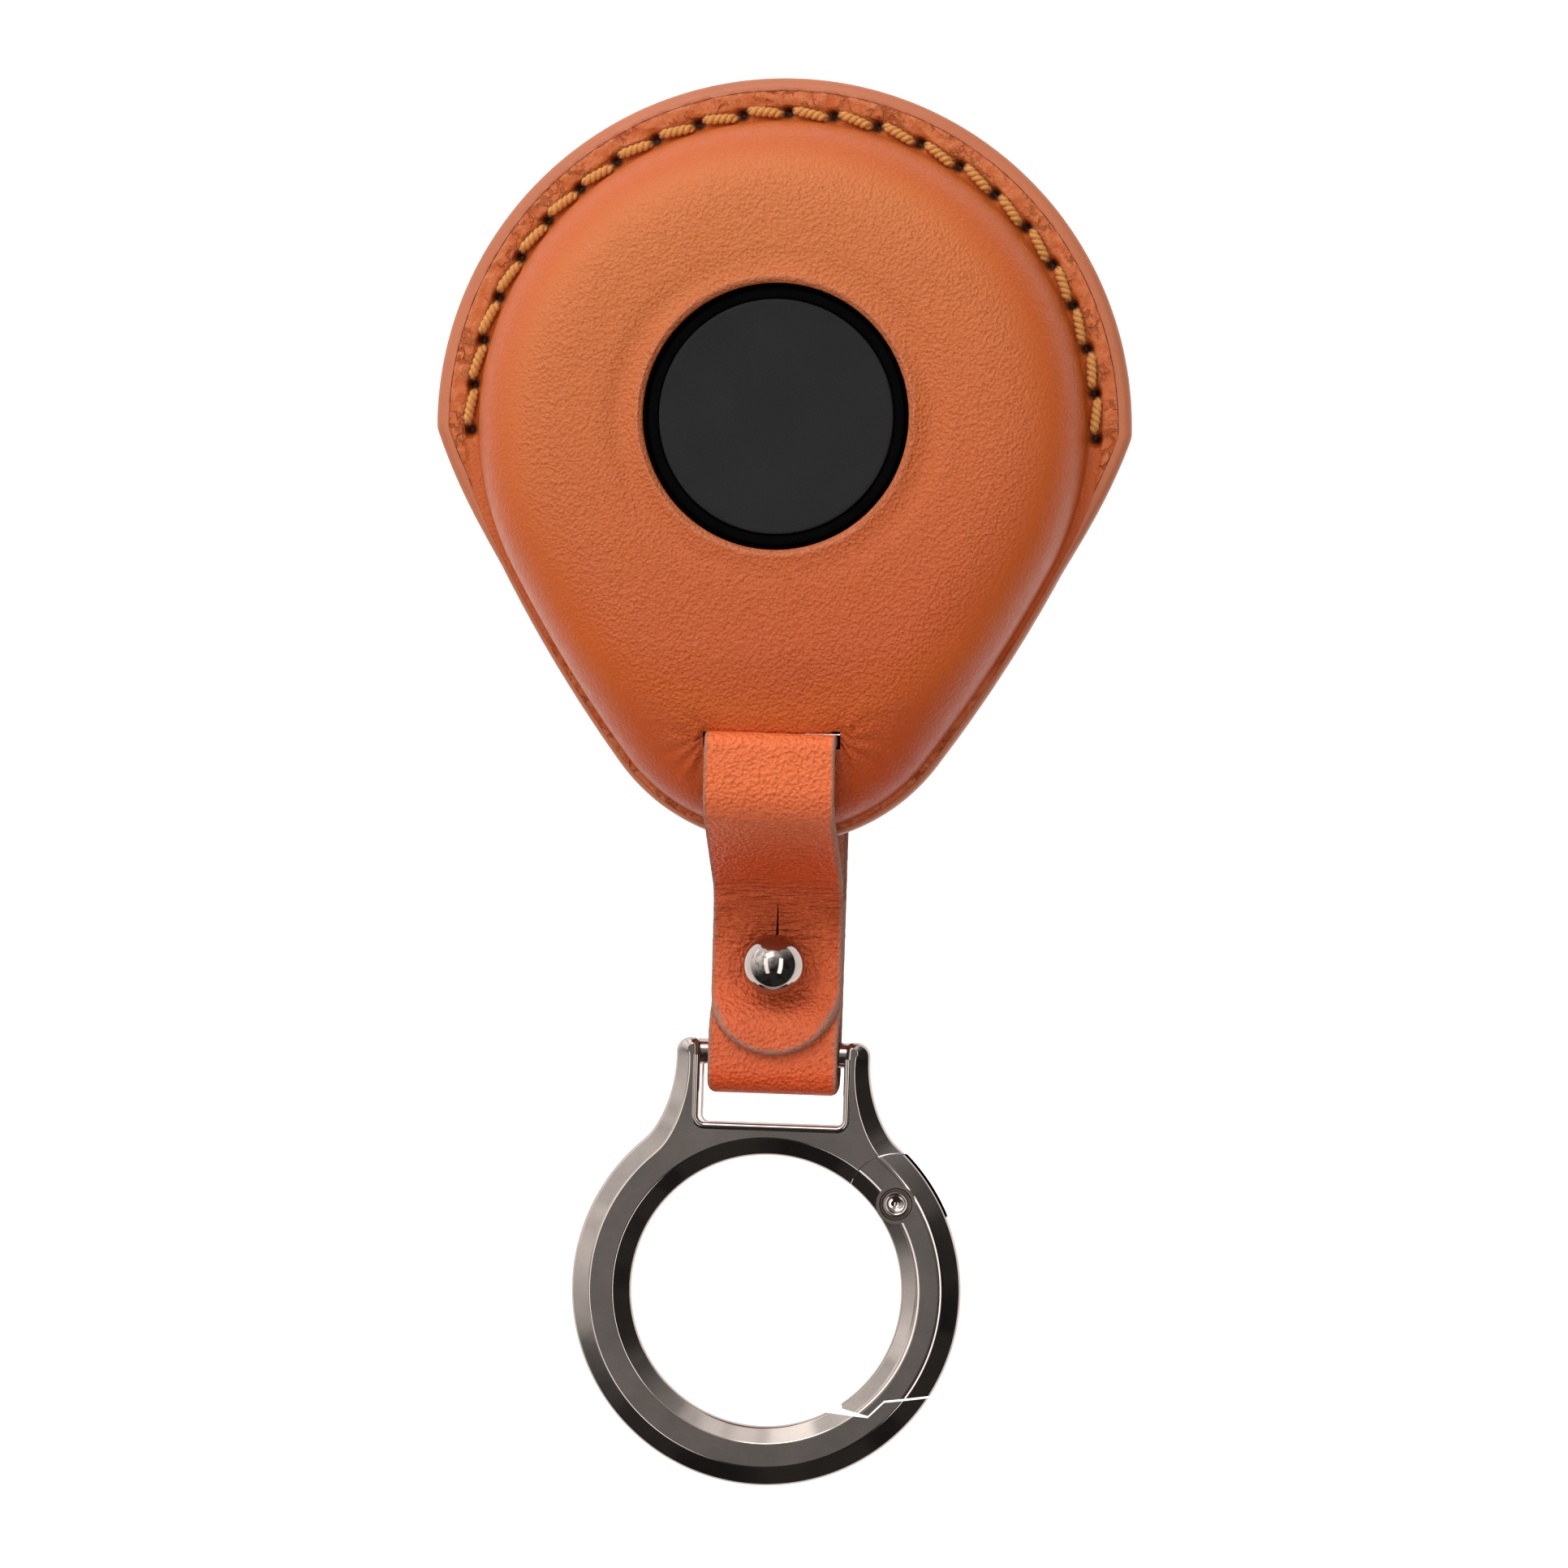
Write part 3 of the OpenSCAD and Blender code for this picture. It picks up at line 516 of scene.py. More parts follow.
def wrinkled(shape, points, kind, front):
    """The shell's points with stitch dips, wrinkles and slack, and the masks of its finish."""
    s = shape.s
    outside = kind != "inside"
    seed = 0.0 if front else 40.0
    x, y = points[:, 0], points[:, 1]
    reach = np.hypot(x, y - s.head_y)
    lift = np.zeros(len(points))
    gap = np.full(len(points), 1.0)
    for hx, hy in shape.hole_places():
        gap = np.minimum(gap, np.hypot(x - hx, y - hy))
    on_flange = (kind == "flange").astype(float)
    line = np.abs(reach - shape.stitch_r)
    sewn = (y > s.head_y - 0.0015) & ((kind == "flange") | (kind == "dome"))
    lift -= np.where(sewn, 0.00014 * bell(line, 0.0005), 0)
    lift -= np.where(sewn, 0.0008 * bell(gap, 0.00055, 4), 0)
    lift -= np.where(sewn, 0.00018 * bell(gap, 0.0012), 0)
    band = smooth((reach - shape.stitch_r - 0.0002) / 0.0005) * on_flange
    ridges = np.zeros(len(points))
    folded = np.flatnonzero(band > 0.01)
    some = points[folded]
    some = some + 0.0007 * np.stack([grain_noise(some, 330, seed + k) for k in (11, 23, 37)], 1)
    ridges[folded] = (0.62 - np.abs(grain_noise(some, 700, seed + 3)) * 2.1
                      + 0.45 * (0.5 - np.abs(grain_noise(some, 1500, seed + 5)) * 2.0))
    lift += s.wrinkle * band * ridges
    # Radial folds where the leather is pulled in beside the slot
    for side in (-1, 1):
        cx, cy = side * 0.0062, shape.slot_y
        dx, dy = x - cx, y - cy
        d = np.hypot(dx, dy)
        a = np.arctan2(dy, dx * side)
        waves = np.sin(11 * a + 2.2 * grain_noise(points, 160, seed + side) * 2)
        fade = bell(d - 0.0016, 0.0022) * smooth((np.abs(x) - 0.0058) / 0.001)
        lift += np.where(outside, 0.9 * s.wrinkle * waves * fade, 0)
        lift -= np.where(outside, 0.00035 * bell(d, 0.0016), 0)
    across = np.where(np.abs(x) < 0.0066, np.abs(y - shape.slot_y), 1.0)
    lift -= np.where(outside, 0.00022 * bell(across, 0.0011), 0)
    on_top = (kind == "flat") | (kind == "dome")
    slack = grain_noise(points, 75, seed + 8) + 0.5 * grain_noise(points, 170, seed + 9)
    lift += np.where(on_top, 0.00006 * slack, 0)
    moved = points.copy()
    moved[:, 2] += np.where(outside, lift, 0)
    masks = {
        "paint": (kind == "paint").astype(float),
        # Painted shade: the stitch holes are only dips, and are coloured dark for the shade inside them
        "hole": np.where(sewn, bell(gap, 0.0006, 4), 0),
        # The crease and ridge shares also carry painted shade in the flange's folds and painted highlights on
        # its ridges
        "crease": band,
        "ridge": np.clip(ridges * band, 0, 1),
        # Painted shade: the dome's lower side near its foot is coloured darker and deeper
        "foot": np.where(outside, bell(s.head_r - 0.0015 - reach, 0.0022), 0),
        "rim": (kind == "rim").astype(float),
        "flat": np.where((kind == "flat") | (kind == "rim"), 1.0, np.where(
            kind == "dome", smooth((points[:, 2] - shape.top(y) + 0.0012) / 0.0011), 0.0)),
    }
    return moved, masks


def slot_outline(shape, front):
    """A slightly ragged slot across the tail, on one side of the parting plane."""
    w, low, high = 0.0063, 0.0008 if front else 0.00062, 0.00062
    steps = 48
    outline = []
    for i in range(steps + 1):
        u = -1 + 2 * i / steps
        outline.append((w * u, shape.slot_y - low + 0.00006 * noise.noise(Vector((u * 11, 0, 0)))))
    for i in range(steps + 1):
        u = 1 - 2 * i / steps
        wave = 0.00004 * noise.noise(Vector((u * 14, 5, 0)))
        outline.append((w * u, shape.slot_y + high + wave + 0.0002 * smooth((u - 0.75) / 0.2)))
    return outline


def half_piece(shape, name, points, faces, front, finish):
    """One half of the cover on its side of the parting plane, cut for the strap, and its points."""
    side = 1.0 if front else -1.0
    placed = points * np.array([1, 1, side]) + np.array([0, 0, shape.half_t])
    if front:
        faces = [f[::-1] for f in faces]
    piece = new_piece(name, placed, faces, finish)
    ends = sorted(shape.half_t + side * depth for depth in SLOT_CUT_DEPTHS)
    cut(piece, [prism(slot_outline(shape, front), *ends)])
    return piece, placed


def lining_surface(shape, front):
    """Points and faces of one lining above the parting plane, with an outer and an inner layer."""
    s = shape.s
    st = shape.stations(0.0012)
    n = len(st)
    x0, y0 = shape.place(st, -s.dome_run)
    bearing = np.arctan2(y0 - shape.window_y, x0)
    shares, rises = shape.dome_rows(10)
    rows = []
    for depth, order in ((s.leather_t + 0.0001, 1), (s.leather_t + 0.00005 + s.lining_t, -1)):
        layer = []
        for u, rise in zip(shares, rises):
            x, y = shape.place(st, -depth - (s.dome_run - depth) * u)
            z = 0.0001 + (shape.top(y, depth) - 0.0001) * rise
            layer.append(np.stack([x, y, z], 1))
        flat = np.full(n, shape.half_t - depth)
        if front:
            for r in (s.window_r + SURROUND_W, s.window_r + 0.001):
                layer.append(np.stack([r * np.cos(bearing), shape.window_y + r * np.sin(bearing), flat], 1))
        else:
            layer.append(np.stack([x0 * 0.05, y0 + (shape.rear_mid_y - y0) * 0.95, flat], 1))
        rows += layer[::order]
    faces = loop_faces(len(rows), n)
    if not front:
        faces = capped(faces, len(rows) // 2, n)
    return np.array(rows).reshape(-1, 3), faces


def ply_path(shape, i, ply, front):
    """Centre line of one ply of a stitch, twisted about the other ply."""
    middle = shape.stitch_start + (i + 0.5) * shape.stitch_step
    wobble = 0.00007 * math.sin(i * 2.4 + (0 if front else 1))
    centres = []
    for k in range(PLY_STEPS + 1):
        t = k / PLY_STEPS
        a = middle + (t - 0.5) * shape.stitch_step * 0.78
        arch = math.sin(math.pi * t)
        wide = shape.ply_r * 0.82 * (0.55 + 0.45 * min(1.0, 1.6 * arch) ** 0.7)
        turn = 2 * math.pi * (t * 2.9 + ply * 0.5 + 0.13 * i)
        r = shape.stitch_r + 0.0005 * (t - 0.5) + wobble + wide * math.cos(turn)
        z = -0.00042 + 0.00074 * min(1.0, arch * 2.4) ** 0.8 + 0.00006 * arch + wide * math.sin(turn)
        centres.append((r * math.cos(a), shape.s.head_y + r * math.sin(a), z))
    return np.array(centres)


def ply_tube(shape, path):
    """Points of a thin round ply along its centre line, and how deep each lies in its hole."""
    heading = heading_along(path)
    beside = np.cross(heading, np.array([0.0, 0.0, 1.0]))
    beside /= np.linalg.norm(beside, axis=1)[:, None]
    above = np.cross(beside, heading)
    points, buried = [], []
    for k in range(PLY_STEPS + 1):
        r = shape.ply_r * (0.6 + 0.4 * min(1.0, 1.6 * math.sin(math.pi * k / PLY_STEPS)) ** 0.7)
        sunk = max(0.0, 1.0 - min(k, PLY_STEPS - k) / PLY_STEPS / 0.09)
        for j in range(PLY_SIDES):
            b = 2 * math.pi * j / PLY_SIDES
            points.append(path[k] + r * (math.cos(b) * beside[k] + math.sin(b) * above[k]))
            buried.append(sunk)
    return points, buried


# Materials

class Nodes:
    """A node tree that is built step by step."""

    def __init__(self, tree):
        self.tree = tree

    def add(self, kind, **settings):
        """A new node, with its inputs and options set by name."""
        node = self.tree.nodes.new(kind)
        for key, value in settings.items():
            if key in node.inputs:
                node.inputs[key].default_value = value
            else:
                setattr(node, key, value)
        return node

    def link(self, a, b):
        self.tree.links.new(a, b)

    def put(self, socket, value):
        """Sets a socket to a number or a colour, or links an output to it."""
        if isinstance(value, (int, float)):
            socket.default_value = value
        elif isinstance(value, (tuple, list)):
            socket.default_value = (*value, 1.0)
        elif value is not None:
            self.link(value, socket)

    def remap(self, value, a, b, c=0.0, d=1.0):
        """The value moved from the range a to b into the range c to d."""
        node = self.add("ShaderNodeMapRange")
        for key, number in zip(("From Min", "From Max", "To Min", "To Max"), (a, b, c, d)):
            node.inputs[key].default_value = number
        self.link(value, node.inputs["Value"])
        return node.outputs["Result"]

    def math(self, operation, *values):
        """One step of arithmetic."""
        node = self.add("ShaderNodeMath", operation=operation)
        for socket, value in zip(node.inputs, values):
            self.put(socket, value)
        return node.outputs["Value"]


class Recipe(Nodes):
    """A material, with its Principled shader and its object coordinates."""

    def __init__(self, name):
        self.material = bpy.data.materials.get(name) or bpy.data.materials.new(name)
        self.material.use_nodes = True
        super().__init__(self.material.node_tree)
        self.tree.nodes.clear()
        self.out = self.add("ShaderNodeOutputMaterial")
        self.shader = self.add("ShaderNodeBsdfPrincipled")
        self.link(self.shader.outputs["BSDF"], self.out.inputs["Surface"])
        self.place = self.add("ShaderNodeTexCoord").outputs["Object"]

    def noise(self, scale, detail=2.0, rough=0.5, stretch=None):
        """Soft noise from 0 to 1."""
        node = self.add("ShaderNodeTexNoise", Scale=scale, Detail=detail, Roughness=rough)
        self.link(self.stretched(stretch), node.inputs["Vector"])
        return node.outputs["Fac"]

    def cells(self, scale, feature="F1"):
        """Distances in a pattern of random cells."""
        node = self.add("ShaderNodeTexVoronoi", feature=feature, Scale=scale)
        if feature == "SMOOTH_F1":
            node.inputs["Smoothness"].default_value = 0.3
        self.link(self.place, node.inputs["Vector"])
        return node.outputs["Distance"]

    def pebble(self, large, small):
        """Height of a pebble grain: soft large cells with small ones on them."""
        return self.math("ADD", self.cells(large, "SMOOTH_F1"), self.math("MULTIPLY", self.cells(small), 0.5))

    def stretched(self, stretch):
        """Object coordinates, with a factor for each axis."""
        if stretch is None:
            return self.place
        node = self.add("ShaderNodeMapping", Scale=stretch)
        self.link(self.place, node.inputs["Vector"])
        return node.outputs["Vector"]

    def axes(self):
        """X, Y and Z of the object coordinates."""
        node = self.add("ShaderNodeSeparateXYZ")
        self.link(self.place, node.inputs["Vector"])
        return node.outputs

    def mask(self, name, strength=None):
        """The share that a piece stores under this name."""
        share = self.add("ShaderNodeAttribute", attribute_name=name).outputs["Fac"]
        return share if strength is None else self.math("MULTIPLY", share, strength)

    def mix(self, share, a, b):
        """a where the share is 0, and b where it is 1."""
        node = self.add("ShaderNodeMix", data_type="RGBA")
        for socket, value in ((node.inputs[0], share), (node.inputs[6], a), (node.inputs[7], b)):
            self.put(socket, value)
        return node.outputs[2]

    def pores(self, colour, scale, width, strength, deep):
        """The colour with dark specks at the middles of small cells."""
        away = self.remap(self.cells(scale), 0.0, width)
        return self.mix(self.math("MULTIPLY", self.math("SUBTRACT", 1.0, away), strength), colour, deep)

    def bump(self, height, distance, strength=1.0, under=None):
        """A normal bent by a height, over the normal under it."""
        node = self.add("ShaderNodeBump", Strength=strength, Distance=distance)
        self.link(height, node.inputs["Height"])
        self.put(node.inputs["Normal"], under)
        return node.outputs["Normal"]

    def finish(self, colour=None, rough=None, normal=None, **settings):
        """The material, with these values at its shader."""
        for key, value in (("Base Color", colour), ("Roughness", rough), ("Normal", normal)):
            self.put(self.shader.inputs[key], value)
        for key, value in settings.items():
            self.shader.inputs[key.replace("_", " ")].default_value = value
        return self.material


def shade(colour, *factors):
    """A colour made lighter or darker by one factor, or by one for each channel."""
    if len(factors) == 1:
        factors *= 3
    return tuple(min(1.0, c * f) for c, f in zip(colour, factors))


def shell_leather(c):
    """Moulded orange leather: fine pebble, mottled dye, painted light toward the top and left and painted
    shade toward the tail, painted shade at the dome's foot, in the flange's folds and in the stitch holes,
    painted highlights on the wrinkle ridges, painted edges.
    """
    m = Recipe("shell_leather")
    base = tuple(c.shell)
    tone = m.remap(m.noise(110, 3.0), 0.3, 0.7)
    axes = m.axes()
    # Painted light and shade: lighter toward the top and the left, darker and deeper toward the tail, as the
    # light falls from the upper left
    rise = m.remap(m.math("ADD", axes["Y"], m.math("MULTIPLY", axes["X"], -0.25)), -0.004, 0.052)
    colour = m.mix(rise, shade(base, 0.78, 0.36, 0.10), shade(base, 1.03, 1.14, 1.30))
    colour = m.mix(m.math("MULTIPLY", tone, 0.10), colour, shade(base, 1.0, 0.8, 0.5))
    # Painted shade at the dome's foot: darker, deeper orange
    colour = m.mix(m.mask("foot", 0.8), colour, shade(base, 0.94, 0.66, 0.32))
    colour = m.pores(colour, 3400, 0.4, 0.22, shade(base, 0.5))
    valley = m.math("ABSOLUTE", m.math("SUBTRACT", m.noise(720, 4.0, 0.6), 0.5))
    crack = m.remap(m.math("ADD", valley, m.remap(m.noise(500, 1.0), 0.40, 0.60, 0.0, 0.08)), 0.0, 0.07)
    # Painted light and shade on the wrinkled flange: darker in the folds, paler on the ridges as painted
    # highlights, and dark fold lines as painted shade
    dark = shade(base, 0.90, 0.76, 0.70)
    wrinkle_highlight_and_shade = m.mix(m.mask("ridge"), dark, shade(base, 1.04, 1.35, 2.1))
    colour = m.mix(m.mask("crease", 0.7), colour, wrinkle_highlight_and_shade)
    fold_line_shade = m.math("MULTIPLY", m.mask("crease"), m.math("SUBTRACT", 1.0, crack))
    colour = m.mix(m.math("MULTIPLY", fold_line_shade, 0.40), colour, shade(dark, 0.45))
    colour = m.mix(m.mask("rim", 0.7), colour, shade(base, 0.92, 1.05, 1.8))
    paint = m.mix(tone, shade(c.paint, 0.94), shade(c.paint, 1.06))
    colour = m.mix(m.mask("paint"), colour, paint)
    # Painted shade inside the stitch holes
    colour = m.mix(m.mask("hole"), colour, (0.016, 0.005, 0.002))
    rough = m.remap(m.noise(900, 2.0), 0.3, 0.7, 0.34, 0.45)
    pebble = m.math("MULTIPLY", m.pebble(2900, 4700), m.remap(m.mask("flat"), 0, 1, 0.35, 1.0))
    grain = m.math("ADD", pebble, m.math("MULTIPLY", m.noise(6000, 2.0), 0.3))
    grain = m.math("MULTIPLY", grain, m.math("SUBTRACT", 1.0, m.mask("paint", 0.85)))
    folds = m.math("MULTIPLY", crack, m.mask("crease"))
    normal = m.bump(folds, 0.00016, 0.9, m.bump(grain, 0.00015, 0.9))
    return m.finish(colour, rough, normal, Specular_IOR_Level=0.34)


def strap_leather(c):
    """Strap leather: stronger pebble, fine cross wrinkles at the bend, pale fuzzy raw edges, painted light on
    the front run and painted shade at the bends.
    """
    m = Recipe("strap_leather")
    base = tuple(c.strap)
    tone = m.remap(m.noise(140, 3.0), 0.3, 0.7)
    colour = m.mix(tone, shade(base, 0.93), shade(base, 1.07))
    # Painted light: the front run over the cover's top is coloured lighter, as the light falls on it
    colour = m.mix(m.remap(m.axes()["Y"], -0.010, 0.001), colour, shade(base, 1.25, 1.42, 1.35))
    colour = m.pores(colour, 3000, 0.36, 0.35, shade(base, 0.45))
    fuzz = m.remap(m.noise(4200, 4.0, 0.7), 0.25, 0.75)
    raw = m.mix(fuzz, shade(c.raw, 0.72), shade(c.raw, 1.12))
    # Painted shade: deeper, darker colour at the bend below the cover and at the fold by the bar
    colour = m.mix(m.mask("deep", 0.75), colour, shade(base, 1.12, 0.66, 0.34))
    colour = m.mix(m.mask("raw"), colour, raw)
    colour = m.mix(m.mask("flesh", 0.8), colour, shade(c.raw, 0.85))
    rough = m.remap(m.mask("raw"), 0, 1, 0.42, 0.85)
    creases = m.noise(1500, 3.0, 0.6, stretch=(0.26, 1.5, 1.5))
    height = m.pebble(2300, 3900)
    for relief, strength in ((creases, m.remap(m.mask("bend"), 0, 1, 0.25, 8.0)),
                             (m.noise(2100, 2.0), m.mask("pull", 2.2)), (fuzz, m.mask("raw", 1.2))):
        height = m.math("ADD", height, m.math("MULTIPLY", relief, strength))
    return m.finish(colour, rough, m.bump(height, 0.00024, 0.9), Specular_IOR_Level=0.30)


def lining_suede(c):
    """Brown suede with a short nap."""
    m = Recipe("lining_suede")
    nap = m.noise(2600, 5.0, 0.7)
    colour = m.mix(m.remap(nap, 0.25, 0.75), shade(c.suede, 0.75), shade(c.suede, 1.3))
    return m.finish(colour, 0.95, m.bump(nap, 0.00015, 0.8), Sheen_Weight=0.5, Sheen_Roughness=0.5,
                    Specular_IOR_Level=0.2)


def waxed_thread(c):
    """Golden thread with fine fibres, with painted shade where it goes into its hole."""
    m = Recipe("thread")
    fibres = m.noise(6500, 3.0, 0.6, stretch=(1.0, 1.0, 0.6))
    colour = m.mix(m.remap(fibres, 0.3, 0.7), shade(c.thread, 0.72), shade(c.thread, 1.15))
    # Painted shade where the thread sinks into its hole
    colour = m.mix(m.mask("buried"), colour, (0.05, 0.018, 0.006))
    return m.finish(colour, 0.55, m.bump(fibres, 0.00005, 0.7), Sheen_Weight=0.25, Sheen_Roughness=0.4,
                    Specular_IOR_Level=0.4)


def gunmetal(c):
    """Polished dark plating with faint smudges and hairline scratches."""
    m = Recipe("gunmetal")
    smudge = m.remap(m.noise(260, 4.0, 0.6), 0.35, 0.75)
    scratch = m.noise(900, 3.0, 0.6, stretch=(0.2, 3.0, 1.0))
    colour = m.mix(smudge, shade(c.gunmetal, 0.9), shade(c.gunmetal, 1.08))
    rough = m.math("ADD", m.remap(smudge, 0, 1, 0.05, 0.11), m.remap(scratch, 0.45, 0.75, 0.0, 0.04))
    waves = m.bump(m.noise(120, 2.0), 0.00003, 0.3)
    normal = m.bump(scratch, 0.000004, 0.3, waves)
    return m.finish(colour, rough, normal, Metallic=1.0)


def bare_steel(c):
    """Bare steel, drawn along one way."""
    m = Recipe("spring_steel")
    drawn = m.noise(2400, 3.0, 0.6, stretch=(1.0, 1.0, 0.2))
    colour = m.mix(m.remap(drawn, 0.3, 0.7), shade(c.steel, 0.85), shade(c.steel, 1.1))
    return m.finish(colour, m.remap(drawn, 0.3, 0.7, 0.18, 0.34), m.bump(drawn, 0.00001, 0.4), Metallic=1.0)


def black_plastic(c):
    """Black plastic with a fine moulded grain."""
    m = Recipe("black_plastic")
    spark = m.noise(5200, 2.0)
    colour = m.mix(m.remap(m.noise(300, 2.0), 0.3, 0.7), shade(c.black, 0.8), shade(c.black, 1.3))
    return m.finish(colour, m.remap(spark, 0.3, 0.7, 0.5, 0.6), m.bump(spark, 0.00001, 0.4),
                    IOR=1.08)


def grey_plastic(c):
    """Matt moulded face with a fine spark-eroded grain."""
    m = Recipe("grey_plastic")
    spark = m.noise(7000, 3.0, 0.7)
    cloud = m.remap(m.noise(160, 3.0), 0.3, 0.7)
    colour = m.mix(cloud, shade(c.face, 0.94), shade(c.face, 1.06))
    return m.finish(colour, m.remap(spark, 0.3, 0.7, 0.50, 0.62), m.bump(spark, 0.00002, 0.4),
                    IOR=1.12)


def green_board(c):
    """Solder mask over copper tracks."""
    m = Recipe("board")
    tracks = m.remap(m.cells(320, "DISTANCE_TO_EDGE"), 0.02, 0.05)
    colour = m.mix(tracks, shade(c.board, 2.2, 1.8, 1.5), tuple(c.board))
    return m.finish(colour, m.remap(tracks, 0, 1, 0.25, 0.4), m.bump(tracks, 0.00003, 0.5))


def material(name):
    """The finish with this name."""
    made = bpy.data.materials.get(name)
    if made is None:
        raise RuntimeError("there is no finish named " + name + ": mix the finishes first")
    return made


class FOB_OT_finishes(Operator):
    """Mixes the leathers, thread, metals and plastics, and gives them to the CAD nodes that stay"""
    bl_idname = "fob.finishes"
    bl_label = "Mix the finishes"

    def execute(self, context):
        c = context.scene.finish_colours
        for recipe in (shell_leather, strap_leather, lining_suede, waxed_thread, gunmetal,
                       bare_steel, black_plastic, grey_plastic, green_board):
            recipe(c)
        kept = {
            "gunmetal": ("stud_screw",),
            "spring_steel": ("gate_spring", "fob_coin_cell"),
            "black_plastic": ("fob_upper_case", "fob_lower_case"),
            "board": ("fob_circuit_board",),
        }
        for name, nodes in kept.items():
            for node in nodes:
                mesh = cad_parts[node].data
                mesh.materials.clear()
                mesh.materials.append(material(name))
        return {"FINISHED"}


# The cover's pieces

class FOB_OT_shells(Operator):
    """Moulds the front and rear leather shells, with flange, dome, window, slots and stitch holes"""
    bl_idname = "fob.shells"
    bl_label = "Mould the shells"

    def execute(self, context):
        shape = CoverShape(context.scene.cover_sizes)
        for front, end in HALVES:
            points, kind, faces = shell_surface(shape, front)
            points, masks = wrinkled(shape, points, kind, front)
            piece, placed = half_piece(shape, end + "_shell_leather", points, faces, front, "shell_leather")
            carry_masks(piece.data, placed, masks)
            fit(piece, "case", end + "_shell", sharp=50)
        return {"FINISHED"}


class FOB_OT_linings(Operator):
    """Lays the suede linings inside the shells"""
    bl_idname = "fob.linings"
    bl_label = "Lay the linings"

    def execute(self, context):
        shape = CoverShape(context.scene.cover_sizes)
        for front, end in HALVES:
            points, faces = lining_surface(shape, front)
            piece, _ = half_piece(shape, end + "_lining_suede", points, faces, front, "lining_suede")
            fit(piece, "case", end + "_lining", sharp=50)
        return {"FINISHED"}


class FOB_OT_stitches(Operator):
    """Sews the two-ply twisted thread around the head, front and rear"""
    bl_idname = "fob.stitches"
    bl_label = "Sew the stitches"

    def execute(self, context):
        shape = CoverShape(context.scene.cover_sizes)
        rows = PLY_STEPS + 1
        quads = [(a, d, c, b) for a, b, c, d in loop_faces(rows, PLY_SIDES, closed=False)]
        for front, end in HALVES:
            points, faces, buried = [], [], []
            for i in range(shape.stitch_count):
                for ply in (0, 1):
                    base = len(points)
                    tube, sunk = ply_tube(shape, ply_path(shape, i, ply, front))
                    points += tube
                    buried += sunk
                    faces += [tuple(base + c for c in f) for f in quads + end_caps(rows, PLY_SIDES)]
            points = np.array(points)
            side = 1.0 if front else -1.0
            points[:, 2] = shape.half_t + side * (shape.s.leather_t + points[:, 2])
            if not front:
                faces = [f[::-1] for f in faces]
            piece = new_piece(end + "_thread", points, faces, "thread", sharp=70)
            # The buried share darkens the thread's ends: painted shade inside the holes
            paint_mask(piece.data, "buried", buried)
            fit(piece, "case", end + "_stitches")
        return {"FINISHED"}


# The strap

class StrapShape:
    """Routes and places of the strap, as the panel's sizes and the cover give them."""

    def __init__(self, cover, s):
        t = s.strap_t
        self.s, self.cover = s, cover
        self.slot_y = cover.slot_y
        self.bend_y = cover.end_y - BEND_BELOW_END
        self.bend_z = t / 2
        lift = t + PLY_GAP
        self.under_z = self.bend_z + lift
        self.tongue_z = self.under_z + lift
        self.front_z = float(cover.half_t + cover.top(np.array(cover.slot_y))) + 0.00035 + t / 2
        self.bar_y = cover.s.head_y - BAR_BELOW_HEAD
        self.loop_z = RING_MID_Z + BAR_UP + BAR_GAP + t / 2
        self.stud_y = self.bend_y - STUD_BELOW_BEND
        self.fold_y = self.bar_y - 0.00315
        self.end_y = self.bar_y - 0.00015
        slope = math.atan2(self.loop_z - self.under_z, 0.003)
        low_bend, high_bend = self.bar_y + 0.00515, self.bar_y + 0.00215
        shift = lift * math.tan(slope / 2)
        self.front = [
            (self.slot_y, 0.0060, 0), (self.slot_y, self.front_z, 0.0008),
            (cover.end_y + 0.00214, self.front_z - t / 2, TAIL_BEND_R),
            (self.bend_y, self.tongue_z + t / 2, TAIL_BEND_R),
            (low_bend + shift, self.tongue_z, STEP_R),
            (high_bend + shift, self.loop_z + lift, STEP_R),
            (self.end_y, self.loop_z + lift, 0),
        ]
        self.rear = [
            (self.slot_y, 0.0060, 0), (self.slot_y, self.bend_z, 0.00156),
            (self.fold_y, self.bend_z, 0.00168), (self.fold_y, self.loop_z, 0.00168),
            (high_bend, self.loop_z, REAR_STEP_R), (low_bend, self.under_z, REAR_STEP_R),
            (self.bend_y - 0.0008, self.under_z, 0),
        ]

    def hang(self, points):
        """Turns points about the front slot, as all that hangs from the cover is turned."""
        a = -self.s.hang_yaw
        moved = np.array(points, float)
        x, y = moved[:, 0].copy(), moved[:, 1] - self.slot_y
        moved[:, 0] = x * math.cos(a) - y * math.sin(a)
        moved[:, 1] = self.slot_y + x * math.sin(a) + y * math.cos(a)
        return moved


